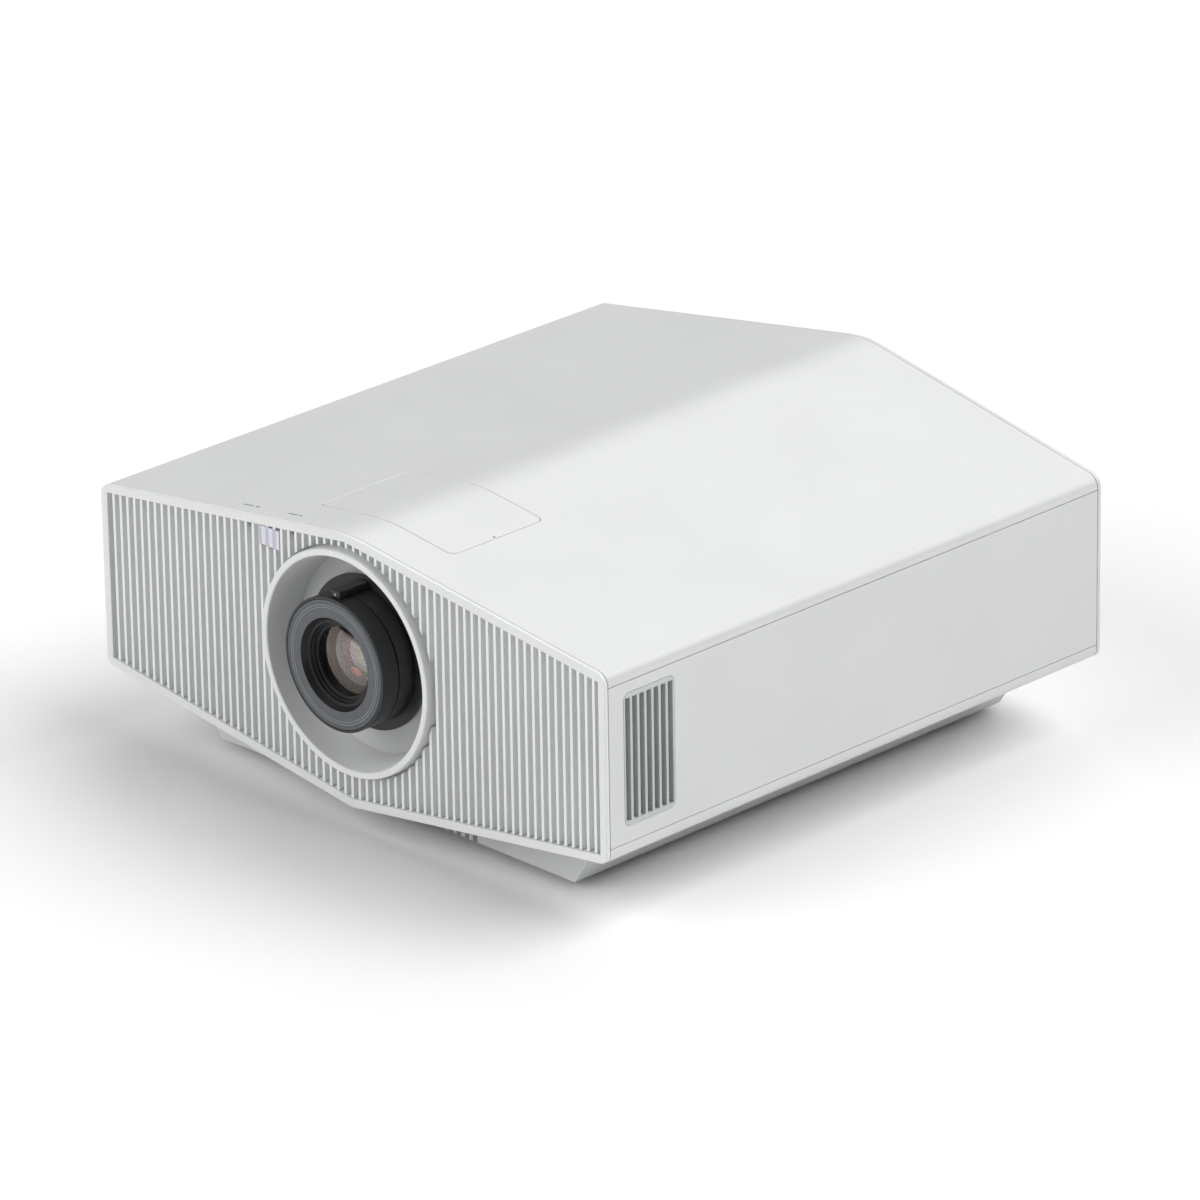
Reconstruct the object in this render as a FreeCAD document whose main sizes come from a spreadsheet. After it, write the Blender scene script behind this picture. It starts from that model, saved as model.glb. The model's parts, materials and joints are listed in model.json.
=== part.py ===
import FreeCAD, Part
import os
import re
import Sketcher

# Home projector, in millimetres. +Z is up, -Y is the way the lens looks, +X is the right-hand side of
# someone who faces the lens. The origin is on the floor, in the middle of the projector's own box.

# A size that starts with = is worked out by the sheet from the ones above it.
SIZES = {
    # Body: a hexagon seen from the front, with a shallow V across the back seen from above.
    "width": 460, "side_depth": 448, "rear_bulge": 24, "ridge_height": 205, "roof_fall": 29.5,
    "top_skirt": 9, "bottom_skirt": 9, "hip_height": 50, "belly_height": 18, "wall": 2.5, "seam": 0.4,
    "ridge_round": 150, "shoulder_round": 9.5, "hip_round": 7, "panel": 3, "running": 0.05, "clearance": 0.3,
    # Base pan under the body.
    "pan_height": 5, "pan_floor_width": 326, "pan_root_width": 380, "pan_front": 37,
    "pan_length": "=side_depth - 60", "pan_slot_width": 4, "pan_slot_height": 6, "pan_slot_pitch": 7.4,
    "pan_slot_count": 5, "pan_slot_start": 42, "post_height": 14, "post_wall": 3, "pan_lip": 8,
    # Front frame and ribbed grille.
    "frame_border": 6, "frame_depth": 3, "frame_lip": 1.2, "fin_width": 2.2, "fin_count": 67,
    "fin_pitch": "=(width - 2 * frame_border - 9.76) / (fin_count - 1)", "fin_set_back": 1.2, "fin_depth": 8,
    "grille_wall": 2, "grille_gap": 1.7,
    # Remote-control window and status lights.
    "window_left": -80, "window_width": 18, "window_low": 175.5, "window_height": 12.9, "window_depth": 3,
    "light_radius": 1.3, "light_outside": 9.4, "light_inside": 30,
    # Lens opening.
    "ring_height": 117.2, "ring_radius": 75.7, "ring_mouth": "=ring_radius - 4.6",
    "ring_throat": "=ring_radius - 9.7", "ring_flange": "=ridge_height - ring_height - wall - 1.3",
    "ring_proud": 3.5, "ring_depth": 22, "ring_plate": 2,
    # Lens. Its tube sets the size of the rings on it and of the carriages that hold it.
    "lens_height": 119.5, "lens_stand": 11.5, "barrel_radius": 40, "barrel_bore": "=barrel_radius - 6",
    "barrel_tail": "=barrel_radius - 10", "tail_glass_radius": "=barrel_radius - 14", "barrel_length": 145,
    "tail_start": 100, "cap_depth": 3, "face_radius": "=barrel_radius + 2.7",
    "grip_radius": "=barrel_radius + 4.7", "cone_radius": 31, "cone_depth": 4, "stop_radius": 26,
    "stop_depth": 8, "glass_radius": 23, "seat_radius": 25.2, "seat_depth": 9, "glass_proud": 6,
    "glass_back": 6, "glass_sphere": 77.3, "focus_length": 13.5,
    "zoom_start": 3, "zoom_length": 12, "lever_length": 24, "lever_width": 8,
    "lever_top": "=barrel_radius + 9.5", "flange_start": 16.3, "flange_length": 3,
    "flange_radius": "=barrel_radius + 11.5", "shield_hole": "=barrel_radius + 7.5",
    # Lens-shift mechanism.
    "base_start": 58, "plate": 4, "stage": 8, "stage_gap": 3, "lens_stage": 10, "shift_side": 3,
    "rod_radius": 2.5, "rod_wall": 2, "base_half_width": "=barrel_radius + 26",
    "base_hole": "=barrel_radius + 12",
    "base_foot": 13, "middle_half_width": "=barrel_radius + 24", "middle_half_height": "=barrel_radius + 7",
    "middle_hole": "=barrel_radius + 4.5", "lens_half_width": "=barrel_radius + 16",
    "lens_half_height": "=barrel_radius + 10.5", "upright_rod_side": "=barrel_radius + 18",
    "level_rod_drop": "=barrel_radius + 6", "shelf_height": "=lens_height + barrel_radius + 15.5", "shelf": 4,
    "arm_half_width": 8, "rod_foot": 5,
    # Lens-shift dials.
    "screw_radius": 3, "dial_radius": 14, "dial_thickness": 9, "dial_side": 34, "dial_lift": 1,
    "pinion_radius": 5, "screw_reach": "=middle_half_height - 9.5", "pinion_reach": "=lens_half_height - 14",
    # Cover and tray over the two dials.
    "hatch_width": 122, "hatch_front": 35, "hatch_length": 80, "hatch_round": 6, "hatch_ledge": 2,
    "tray_floor": "=shelf_height + 10", "tray_wall": 2, "tray_gap": 2,
    # Side vents.
    "vent_front": 16, "vent_width": 44, "vent_low": 70, "vent_high": 159, "vent_round": 5, "vent_depth": 6,
    "vent_border": 1.5, "vent_fin": 2, "vent_slots": 7,
    # Deck and fans.
    "deck_height": 49, "deck": 2, "deck_edge": "=width * 3 / 46", "deck_front": 50, "deck_rear": 18,
    "fan_size": 80, "fan_depth": 25, "fan_hub": 17, "fan_inset": 11, "fan_start": 70, "fan_bar": 4, "fan_plate": 3,
    "fan_blades": 7, "fan_leg": 5, "filter_depth": 2,
    # Light engine, light source with its heat sink, and power supply.
    "engine_start": 158, "engine_width": 130, "engine_length": 130, "engine_rise": 50, "engine_round": 6,
    "engine_step": 20, "nozzle_wall": 6, "nozzle_length": 20, "works_height": 150, "lamp_start": 190,
    "lamp_width": 60, "lamp_length": 100, "lamp_round": 3, "lamp_slot_pitch": 10, "lamp_slots": 8,
    "cut_width": 3, "cut_depth": 3, "sink_root": 6, "sink_reach": 50, "sink_fin": 1.6, "sink_pitch": 6,
    "sink_fins": 16, "supply_edge": 22, "supply_width": 90, "supply_start": 180,
    "supply_length": "=side_depth - 228", "supply_height": 125, "supply_slots": 19,
    # Connector bay in the rear panel, and the board behind it.
    "bay_edge": 40, "bay_right": 60, "bay_low": 68, "bay_high": 128, "bay_start": "=side_depth - 10",
    "bay_wall": 2, "socket_rise": 20, "jack_radius": 3.5, "jack_bore": 1.8, "inlet_rise": 30, "inlet_in": 28,
    "inlet_half_width": 14, "inlet_half_height": 10, "inlet_wall": 1.8, "inlet_depth": 20, "board": 1.6,
    "board_start": "=side_depth - 24", "chip": 3,
    # Cooling slots in the rear panel.
    "rear_slot_edge": 130, "rear_slot_width": 4, "rear_slot_pitch": 8, "rear_slots": 13,
    # Keys on the left side.
    "key_radius": 5, "key_row": 15, "key_front": "=side_depth - 68", "key_height": 113, "key_sink": 1.5,
    "key_plate": 2, "key_border": 5, "key_step": 2.4, "switch_radius": 2.5, "key_face": 0.6, "key_length": 6.9,
    "key_collar": 1.2, "key_board_depth": 10.5,
    # Feet, ceiling-mount inserts and screws.
    "foot_radius": 12, "foot_stem": 4, "foot_side": 140, "foot_front": 60, "foot_rear": "=side_depth - 46",
    "front_stem": 24, "rear_stem": 16, "insert_bore": 2.5, "insert_radius": 4.5, "insert_side": 110,
    "insert_front": 90, "insert_rear": "=side_depth - 118", "insert_length": 12.5, "screw_side": 115,
    "case_screw_bore": 1.6, "case_screw_head": 3, "case_screw_length": 15,
}

document = FreeCAD.newDocument("home_projector")
sheet = document.addObject("Spreadsheet::Sheet", "Sizes")
for row, (word, number) in enumerate(SIZES.items(), start=1):
    sheet.set(f"A{row}", word)
    sheet.set(f"B{row}", str(number))
    sheet.setAlias(f"B{row}", word)
document.recompute()

pieces = []

# Places used all over, as formulas on the sheet's names. FRONT is the front frame's face.
HALF = "(width / 2)"
FRONT = "(lens_stand - (side_depth + rear_bulge + lens_stand) / 2)"
REAR = f"({FRONT} + side_depth)"
SHOULDER = "(ridge_height - roof_fall)"
UPPER_SEAM = f"({SHOULDER} - top_skirt)"
LOWER_SEAM = "(hip_height + bottom_skirt)"
DECK = "(deck_height + deck)"

# Middles of the two lens-shift stages and of the side dial's pinion, as distances behind the front face.
MIDDLE_STAGE = "(base_start + plate + 2 + stage / 2)"
LENS_STAGE = "(base_start + plate + 2 + stage + stage_gap + lens_stage / 2)"
PINION = f"({LENS_STAGE} + lens_stage / 2 + clearance + pinion_radius)"
RISE_DIAL = "dial_side"
SIDE_DIAL = "-dial_side"


def behind(distance):
    """A place along Y, given as its distance behind the front frame's face."""
    return f"({FRONT} + {distance})"


def roof(side, inset="0"):
    """Height of the roof at a distance from the middle, lowered by an inset."""
    return f"(ridge_height - ({inset}) - roof_fall * ({side}) / {HALF})"


def underside(side, inset="0"):
    """Height of the underside at a distance from the middle, raised by an inset."""
    return f"(belly_height + ({inset}) + (hip_height - belly_height) * ({side}) / {HALF})"


def hexagon(inset):
    """The body's front outline, drawn in by an inset."""
    side = f"({HALF} - ({inset}))"
    return [(f"-{side}", underside(side, inset)), ("0", underside("0", inset)), (side, underside(side, inset)),
            (side, roof(side, inset)), ("0", roof("0", inset)), (f"-{side}", roof(side, inset))]


def rectangle(left, right, low, high):
    """Corners of an upright rectangle."""
    return [(left, low), (right, low), (right, high), (left, high)]


def circle(across, up, radius):
    """A circle for a sketch: its middle and its radius."""
    return ("circle", across, up, radius)


def words(formula):
    """A formula as the document reads it, with each size's name looked up in the sheet."""
    return re.sub(r"[a-z][a-z_]+", lambda found: ("Sizes." if found[0] in SIZES else "") + found[0], formula)


def value(formula):
    """The number a formula gives now, worked out by the document itself."""
    return float(sheet.evalExpression(words(formula)))


def bind(thing, size, formula):
    """Ties one size of an object to a formula on the sheet's names."""
    thing.setExpression(size, words(formula))


def piece(name, kind="PartDesign::Body"):
    """Starts a sub-part. Its label names its file."""
    thing = document.addObject(kind, name)
    thing.Label = name
    pieces.append(thing)
    return thing


def draw(body, plane, start, loops, shift=("0", "0")):
    """A sketch on one of the body's planes, moved along the plane's normal axis to start."""
    sketch = body.newObject("Sketcher::SketchObject", body.Name + "_sketch")
    base = [item for item in body.Origin.OriginFeatures if item.Role == plane][0]
    sketch.AttachmentSupport = [(base, "")]
    sketch.MapMode = "FlatFace"
    bind(sketch, "AttachmentOffset.Base.x", shift[0])
    bind(sketch, "AttachmentOffset.Base.y", shift[1])
    bind(sketch, "AttachmentOffset.Base.z", f"-({start})" if plane == "XZ_Plane" else start)
    for loop in loops:
        first = sketch.GeometryCount
        if loop[0] == "circle":
            sketch.addGeometry(Part.Circle(FreeCAD.Vector(0, 0, 0), FreeCAD.Vector(0, 0, 1), 10))
            place(sketch, first, 3, loop[1], loop[2])
            radius = sketch.addConstraint(Sketcher.Constraint("Radius", first, 10))
            bind(sketch, f"Constraints[{radius}]", loop[3])
            continue
        corners = [FreeCAD.Vector(value(across), value(up), 0) for across, up in loop]
        count = len(corners)
        edges = [Part.LineSegment(corners[i], corners[(i + 1) % count]) for i in range(count)]
        sketch.addGeometry(edges)
        for i in range(count):
            sketch.addConstraint(Sketcher.Constraint("Coincident", first + i, 2, first + (i + 1) % count, 1))
        for i, (across, up) in enumerate(loop):
            place(sketch, first + i, 1, across, up)
    return sketch


def place(sketch, edge, end, across, up):
    """Holds one point of a sketch at two formulas."""
    for direction, formula in (("DistanceX", across), ("DistanceY", up)):
        index = sketch.addConstraint(Sketcher.Constraint(direction, -1, 1, edge, end, value(formula)))
        bind(sketch, f"Constraints[{index}]", formula)


def grow(body, plane, start, loops, length, shift=("0", "0")):
    """Pads loops towards the plane's positive axis. XZ_Plane faces -Y, so it is reversed."""
    pad = body.newObject("PartDesign::Pad", body.Name + "_pad")
    pad.Profile = draw(body, plane, start, loops, shift)
    pad.Reversed = plane == "XZ_Plane"
    bind(pad, "Length", length)
    document.recompute()
    return pad


def cut(body, plane, start, loops, length, shift=("0", "0")):
    """Pockets loops towards the plane's positive axis, and checks that something was taken away."""
    before = body.Tip.Shape.Volume
    pocket = body.newObject("PartDesign::Pocket", body.Name + "_pocket")
    pocket.Profile = draw(body, plane, start, loops, shift)
    pocket.Reversed = plane != "XZ_Plane"
    bind(pocket, "Length", length)
    document.recompute()
    if pocket.Shape.Volume > before - 1e-6:
        raise ValueError(body.Label + ": a pocket took nothing away")
    return pocket


def turn(body, across, up, profile):
    """A solid of revolution about a line along Y at (across, up). The profile is (distance along Y, radius)."""
    ring = body.newObject("PartDesign::Revolution", body.Name + "_turn")
    ring.Profile = draw(body, "YZ_Plane", across, [profile], ("0", up))
    ring.ReferenceAxis = (ring.Profile[0], ["H_Axis"])
    ring.Angle = 360
    document.recompute()
    return ring


def repeat(body, feature, axis, length, count, backwards=False):
    """Repeats one feature in a row along a global axis."""
    row = body.newObject("PartDesign::LinearPattern", body.Name + "_row")
    row.Originals = [feature]
    line = [item for item in body.Origin.OriginFeatures if item.Role == axis][0]
    row.Direction = (line, [""])
    row.Reversed = backwards
    bind(row, "Length", length)
    bind(row, "Occurrences", count)
    body.Tip = row
    document.recompute()
    return row


def polar(body, feature, axis_sketch, count):
    """Repeats one feature round a sketch's normal."""
    ring = body.newObject("PartDesign::PolarPattern", body.Name + "_round")
    ring.Originals = [feature]
    ring.Axis = (axis_sketch, ["N_Axis"])
    ring.Angle = 360
    bind(ring, "Occurrences", count)
    body.Tip = ring
    document.recompute()
    return ring


def straight(edge, axis):
    """Whether an edge is a straight line along a global axis: 0 is X, 1 is Y, 2 is Z."""
    if edge.Curve.TypeId != "Part::GeomLine":
        return False
    return abs(abs(edge.Curve.Direction[axis]) - 1) < 1e-6


def soften(body, radius, axis, wanted):
    """Fillets the body's straight edges along an axis whose middle point passes a test."""
    base = body.Tip
    names = []
    for index, edge in enumerate(base.Shape.Edges, start=1):
        if straight(edge, axis) and wanted(edge.BoundBox.Center):
            names.append(f"Edge{index}")
    if not names:
        raise ValueError(body.Label + ": no edge to round")
    fillet = body.newObject("PartDesign::Fillet", body.Name + "_fillet")
    fillet.Base = (base, names)
    bind(fillet, "Radius", radius)
    document.recompute()
    return fillet


def box(name, left, right, front, rear, low, high):
    """A plain block as a body: X range, Y range, Z range."""
    body = piece(name)
    grow(body, "XY_Plane", low, [rectangle(left, right, front, rear)], f"{high} - ({low})")
    return body


def beyond_rear(inset):
    """Everything behind the back's shallow V, seen from above."""
    return [(f"-{HALF} - 9", f"{REAR} - ({inset})"), (f"-{HALF}", f"{REAR} - ({inset})"),
            ("0", f"{REAR} + rear_bulge - ({inset})"), (HALF, f"{REAR} - ({inset})"),
            (f"{HALF} + 9", f"{REAR} - ({inset})"), (f"{HALF} + 9", f"{REAR} + rear_bulge + 9"),
            (f"-{HALF} - 9", f"{REAR} + rear_bulge + 9")]


def top_cover():
    """Bent roof with short skirts, cut to the V at the back, with the opening for the hatch."""
    body = piece("top_cover")
    inner = f"({HALF} - wall)"
    edge = f"{UPPER_SEAM} + seam / 2"
    strip = [(f"-{HALF}", edge), (f"-{HALF}", SHOULDER), ("0", "ridge_height"), (HALF, SHOULDER), (HALF, edge),
             (inner, edge), (inner, roof(inner, "wall")), ("0", roof("0", "wall")),
             (f"-{inner}", roof(inner, "wall")), (f"-{inner}", edge)]
    start = behind("frame_depth + seam")
    grow(body, "XZ_Plane", start, [strip], f"{REAR} + rear_bulge - {start}")
    soften(body, "ridge_round", 1, lambda at: abs(at.x) < 0.01)
    half, shoulder, skirt = value(HALF), value(SHOULDER), value("top_skirt")
    outer = value("wall") / 2
    soften(body, "min(shoulder_round; top_skirt)", 1,
           lambda at: abs(at.x) > half - outer and at.z > shoulder - skirt / 2)
    inside = shoulder - skirt / 2 - 2 * outer
    soften(body, "min(shoulder_round; top_skirt) - wall", 1,
           lambda at: half / 2 < abs(at.x) < half - outer and at.z > inside)
    cut(body, "XY_Plane", "0", [beyond_rear("panel + seam")], "ridge_height + 1")
    hatch = rectangle("-hatch_width / 2", "hatch_width / 2", behind("hatch_front"),
                      behind("hatch_front + hatch_length"))
    cut(body, "XY_Plane", "ridge_height / 2", [hatch], "ridge_height")
    side = value("hatch_width / 2")
    soften(body, "hatch_round", 2, lambda at: abs(abs(at.x) - side) < 0.01)


def hatch_slab(body, grown, thickness, drop, front, length):
    """A slab that follows the roof over the hatch. grown widens it, drop lowers its top."""
    side = f"(hatch_width / 2 + ({grown}))"
    slab = [(f"-{side}", roof(side, drop)), ("0", roof("0", drop)), (side, roof(side, drop)),
            (side, roof(side, f"{drop} + {thickness}")), ("0", roof("0", f"{drop} + {thickness}")),
            (f"-{side}", roof(side, f"{drop} + {thickness}"))]
    grow(body, "XZ_Plane", front, [slab], length)
    soften(body, "ridge_round", 1, lambda at: abs(at.x) < 0.01)


def dial_cover():
    """Lift-off hatch, flush with the roof, over the lens-shift dials."""
    body = piece("dial_cover")
    hatch_slab(body, "-seam", "wall - clearance", "0", behind("hatch_front + seam"), "hatch_length - 2 * seam")
    side = value("hatch_width / 2 - seam")
    soften(body, "hatch_round - seam", 2, lambda at: abs(abs(at.x) - side) < 0.01)


def dial_tray():
    """Tray under the hatch. Its rim carries the hatch and its floor is slotted for the dials."""
    body = piece("dial_tray")
    side = "(hatch_width / 2 + hatch_ledge)"
    low = "(tray_floor - tray_wall)"
    block = [(f"-{side}", low), (side, low), (side, roof(side, "wall")), ("0", roof("0", "wall")),
             (f"-{side}", roof(side, "wall"))]
    grow(body, "XZ_Plane", behind("hatch_front - hatch_ledge"), [block], "hatch_length + 2 * hatch_ledge")
    above = value("tray_floor + 1")
    soften(body, "ridge_round", 1, lambda at: abs(at.x) < 0.01 and at.z > above)
    well = "(hatch_width / 2 - hatch_ledge)"
    inside = rectangle(f"-{well}", well, behind("hatch_front + hatch_ledge"),
                       behind("hatch_front + hatch_length - hatch_ledge"))
    cut(body, "XY_Plane", "tray_floor", [inside], "ridge_height")
    for across, along in ((RISE_DIAL, MIDDLE_STAGE), (SIDE_DIAL, PINION)):
        hole = circle(across, behind(along), "dial_radius + tray_gap")
        cut(body, "XY_Plane", f"{low} - 1", [hole], "tray_wall + 2")


def bottom_cover():
    """Shallow V trough with short skirts and a wide opening over the base pan."""
    body = piece("bottom_cover")
    inner = f"({HALF} - wall)"
    edge = f"{LOWER_SEAM} - seam / 2"
    strip = [(f"-{HALF}", edge), (f"-{HALF}", "hip_height"), ("0", "belly_height"), (HALF, "hip_height"),
             (HALF, edge), (inner, edge), (inner, underside(inner, "wall")), ("0", underside("0", "wall")),
             (f"-{inner}", underside(inner, "wall")), (f"-{inner}", edge)]
    start = behind("frame_depth + seam")
    grow(body, "XZ_Plane", start, [strip], f"{REAR} + rear_bulge - {start}")
    half, hip, skirt = value(HALF), value("hip_height"), value("bottom_skirt")
    outer = value("wall") / 2
    soften(body, "min(hip_round; bottom_skirt - 1)", 1,
           lambda at: abs(at.x) > half - outer and at.z < hip + skirt / 2)
    soften(body, "min(hip_round; bottom_skirt - 1) - wall", 1,
           lambda at: half / 2 < abs(at.x) < half - outer and at.z < hip + skirt / 2 + 2 * outer)
    cut(body, "XY_Plane", "0", [beyond_rear("panel + seam")], "ridge_height + 1")
    opening = rectangle("-pan_floor_width / 2 + pan_lip", "pan_floor_width / 2 - pan_lip",
                        behind("pan_front + pan_lip"), behind("pan_front + pan_length - pan_lip"))
    cut(body, "XY_Plane", "0", [opening], "ridge_height")


def base_pan():
    """Open pan that the projector stands on, with feet bosses and small slots in its front wall."""
    body = piece("base_pan")
    root, floor = "(pan_root_width / 2)", "(pan_floor_width / 2)"
    outline = [(f"-{floor}", "pan_height"), (floor, "pan_height"), (root, underside(root)),
               ("0", underside("0")), (f"-{root}", underside(root))]
    grow(body, "XZ_Plane", behind("pan_front"), [outline], "pan_length")
    slope = "((pan_root_width - pan_floor_width) / 2)"
    inner = f"({floor} - wall)"
    top = "(hip_height + 20)"
    hollow = [(f"-{inner}", "pan_height + wall"), (inner, "pan_height + wall"),
              (f"{inner} + {slope} * 1.5", top), (f"-{inner} - {slope} * 1.5", top)]
    cut(body, "XZ_Plane", behind("pan_front + wall"), [hollow], "pan_length - 2 * wall")
    for across, along, radius in pan_posts():
        grow(body, "XY_Plane", "pan_height + wall / 2", [circle(across, along, radius)], "post_height")
    for across, along, radius in pan_bores():
        cut(body, "XY_Plane", "pan_height - 1", [circle(across, along, radius)], "2 * post_height")
    for across, along in case_screw_places():
        sink = circle(across, along, "case_screw_head + clearance")
        cut(body, "XY_Plane", "pan_height - 1", [sink], "wall")
    for side in ("1", "-1"):
        start = f"{side} * pan_slot_start"
        opening = rectangle(start, f"{start} + {side} * pan_slot_width", "pan_height",
                            "pan_height + pan_slot_height")
        slot = cut(body, "XZ_Plane", behind("pan_front - 1"), [opening], "wall + 2")
        repeat(body, slot, "X_Axis", "pan_slot_pitch * (pan_slot_count - 1)", "pan_slot_count", side == "-1")


def corners_of(side, front, rear):
    """Four places, left and right, front and rear."""
    return [(f"{sign}{side}", behind(along)) for along in (front, rear) for sign in ("-", "")]


def insert_places():
    """Where the ceiling-mount inserts stand."""
    return corners_of("insert_side", "insert_front", "insert_rear")


def foot_places():
    """Where the feet stand, the two front ones first."""
    return corners_of("foot_side", "foot_front", "foot_rear")


def case_screw_places():
    """Where the screws go up through the pan."""
    return corners_of("screw_side", "foot_front", "foot_rear")


def pan_posts():
    """Bosses in the pan: place and outer radius."""
    posts = [(across, along, "insert_radius + post_wall - 0.5") for across, along in insert_places()]
    return posts + [(across, along, "foot_stem + post_wall") for across, along in foot_places()]


def pan_bores():
    """Bores through the bosses and the floor: place and radius."""
    bores = [(across, along, "insert_radius") for across, along in insert_places()]
    bores += [(across, along, "foot_stem + running") for across, along in foot_places()[:2]]
    bores += [(across, along, "foot_stem") for across, along in foot_places()[2:]]
    return bores + [(across, along, "case_screw_bore") for across, along in case_screw_places()]


def side_panel(name, sign):
    """Flat side of the body with its vent opening. The left one also has the key opening."""
    body = piece(name)
    near = f"{HALF} - wall" if sign > 0 else f"-{HALF}"
    front, rear = behind("frame_depth + seam"), f"{REAR} - panel - seam"
    low, high = f"{LOWER_SEAM} + seam / 2", f"{UPPER_SEAM} - seam / 2"
    grow(body, "YZ_Plane", near, [rectangle(front, rear, low, high)], "wall")
    cut(body, "YZ_Plane", f"{near} - 1", [vent_outline("0")], "wall + 2")
    ends = value(front) + 1, value(behind("vent_front + vent_width + 1"))
    heights = value(low) + 1, value(high) - 1
    soften(body, "vent_round", 0, lambda at: ends[0] < at.y < ends[1] and heights[0] < at.z < heights[1])
    if sign < 0:
        cut(body, "YZ_Plane", f"{near} - 1", [key_plate_outline("0")], "wall + 2")


def vent_outline(inset):
    """Outline of a side vent, drawn in by an inset."""
    return rectangle(behind(f"vent_front + {inset}"), behind(f"vent_front + vent_width - ({inset})"),
                     f"vent_low + {inset}", f"vent_high - ({inset})")


def vent_grille(name, sign):
    """Slotted insert that fills a side panel's vent opening."""
    body = piece(name)
    near = f"{HALF} - vent_depth" if sign > 0 else f"-{HALF}"
    grow(body, "YZ_Plane", near, [vent_outline("seam / 2")], "vent_depth")
    soften(body, "vent_round - seam / 2", 0, lambda at: True)
    slot_pitch = "((vent_width - 2 * vent_border + vent_fin) / vent_slots)"
    start = behind("vent_front + vent_border")
    slot = cut(body, "YZ_Plane", f"{near} - 1", [rectangle(start, f"{start} + {slot_pitch} - vent_fin",
               "vent_low + vent_border + 2", "vent_high - vent_border - 2")], "vent_depth + 2")
    repeat(body, slot, "Y_Axis", f"{slot_pitch} * (vent_slots - 1)", "vent_slots")


def soften_outline(body):
    """Rounds the ridge, the shoulders and the hips of a plate cut to the body's front outline."""
    half, middle = value(HALF) - 1, value("ridge_height / 2")
    upper, lower = value(UPPER_SEAM), value(LOWER_SEAM)
    soften(body, "ridge_round", 1, lambda at: abs(at.x) < 0.01 and at.z > middle)
    soften(body, "min(shoulder_round; top_skirt)", 1, lambda at: abs(at.x) > half and at.z > upper)
    soften(body, "min(hip_round; bottom_skirt - 1)", 1, lambda at: abs(at.x) > half and at.z < lower)


def rear_panel():
    """Back of the body: a shallow V plate with the connector bay's window and cooling slots."""
    body = piece("rear_panel")
    start = f"({REAR} - 12)"
    grow(body, "XZ_Plane", start, [hexagon("0")], "rear_bulge + 13")
    soften_outline(body)
    cut(body, "XY_Plane", "0", [beyond_rear("0")], "ridge_height + 1")
    inside = [(f"-{HALF} - 9", f"{REAR} - 20"), (f"{HALF} + 9", f"{REAR} - 20"),
              (f"{HALF} + 9", f"{REAR} - panel"), (HALF, f"{REAR} - panel"),
              ("0", f"{REAR} + rear_bulge - panel"), (f"-{HALF}", f"{REAR} - panel"),
              (f"-{HALF} - 9", f"{REAR} - panel")]
    cut(body, "XY_Plane", "0", [inside], "ridge_height + 1")
    bay = rectangle(f"-{HALF} + bay_edge", "bay_right", "bay_low", "bay_high")
    cut(body, "XZ_Plane", f"{REAR} - 20", [bay], "rear_bulge + 36")
    first = f"({HALF} - rear_slot_edge)"
    opening = rectangle(first, f"{first} + rear_slot_width", "bay_low", "bay_high")
    slot = cut(body, "XZ_Plane", f"{REAR} - 20", [opening], "rear_bulge + 36")
    repeat(body, slot, "X_Axis", "rear_slot_pitch * (rear_slots - 1)", "rear_slots")


def front_bezel():
    """Bright frame round the grille, with a lip that reaches back inside the opening."""
    body = piece("front_bezel")
    grow(body, "XZ_Plane", FRONT, [hexagon("0")], "frame_depth")
    soften_outline(body)
    grow(body, "XZ_Plane", behind("frame_depth / 2"), [hexagon("frame_border - frame_lip")],
         "fin_set_back + fin_depth - frame_depth / 2")
    cut(body, "XZ_Plane", f"{FRONT} - 1", [hexagon("frame_border")], "fin_set_back + fin_depth + 2")


def front_grille():
    """Upright fins on a back wall, trimmed to the frame's opening, with a round hole for the lens ring."""
    body = piece("front_grille")
    wall_front = behind("fin_set_back + fin_depth")
    grow(body, "XZ_Plane", wall_front, [hexagon("frame_border - frame_lip")], "grille_wall")
    span = "(fin_pitch * (fin_count - 1))"
    left = f"(-{span} / 2 - fin_width / 2)"
    blade = rectangle(left, f"{left} + fin_width", "belly_height", "ridge_height")
    fin = grow(body, "XZ_Plane", behind("fin_set_back"), [blade], "fin_depth + grille_wall / 2")
    repeat(body, fin, "X_Axis", span, "fin_count")
    outside = rectangle(f"-{HALF} - 5", f"{HALF} + 5", "0", "ridge_height + 5")
    cut(body, "XZ_Plane", behind("-1"), [outside, hexagon("frame_border + seam / 2")],
        "1 + fin_set_back + fin_depth")
    cut(body, "XZ_Plane", behind("-1"), [outside, hexagon("frame_border - frame_lip")],
        "2 + fin_set_back + fin_depth + grille_wall")
    cut(body, "XZ_Plane", behind("-1"), [circle("0", "ring_height", "ring_radius + grille_gap")], "30")
    cut(body, "XZ_Plane", behind("-1"), [window_outline("-seam / 2")], "1 + fin_set_back + window_depth")
    lights = [circle(across, up, "light_radius") for across, up in light_places()]
    cut(body, "XZ_Plane", behind("-1"), lights, "2 + fin_set_back + fin_depth + grille_wall")


def window_outline(inset):
    """Outline of the remote-control window, just under the frame, left of the lens."""
    return rectangle(f"window_left + {inset}", f"window_left + window_width - ({inset})",
                     f"window_low + {inset}", f"window_low + window_height - ({inset})")


def remote_window():
    """Small tinted window over the remote-control receiver."""
    body = piece("remote_window")
    grow(body, "XZ_Plane", behind("fin_set_back"), [window_outline("0.1")], "window_depth")


def light_places():
    """The two status lights, just under the frame's inner edge on each side of the window."""
    lights = []
    for side in ("window_left - light_outside", "window_left + light_inside"):
        lights.append((side, roof(f"-({side})", "frame_border + light_radius + 0.5")))
    return lights


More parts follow.
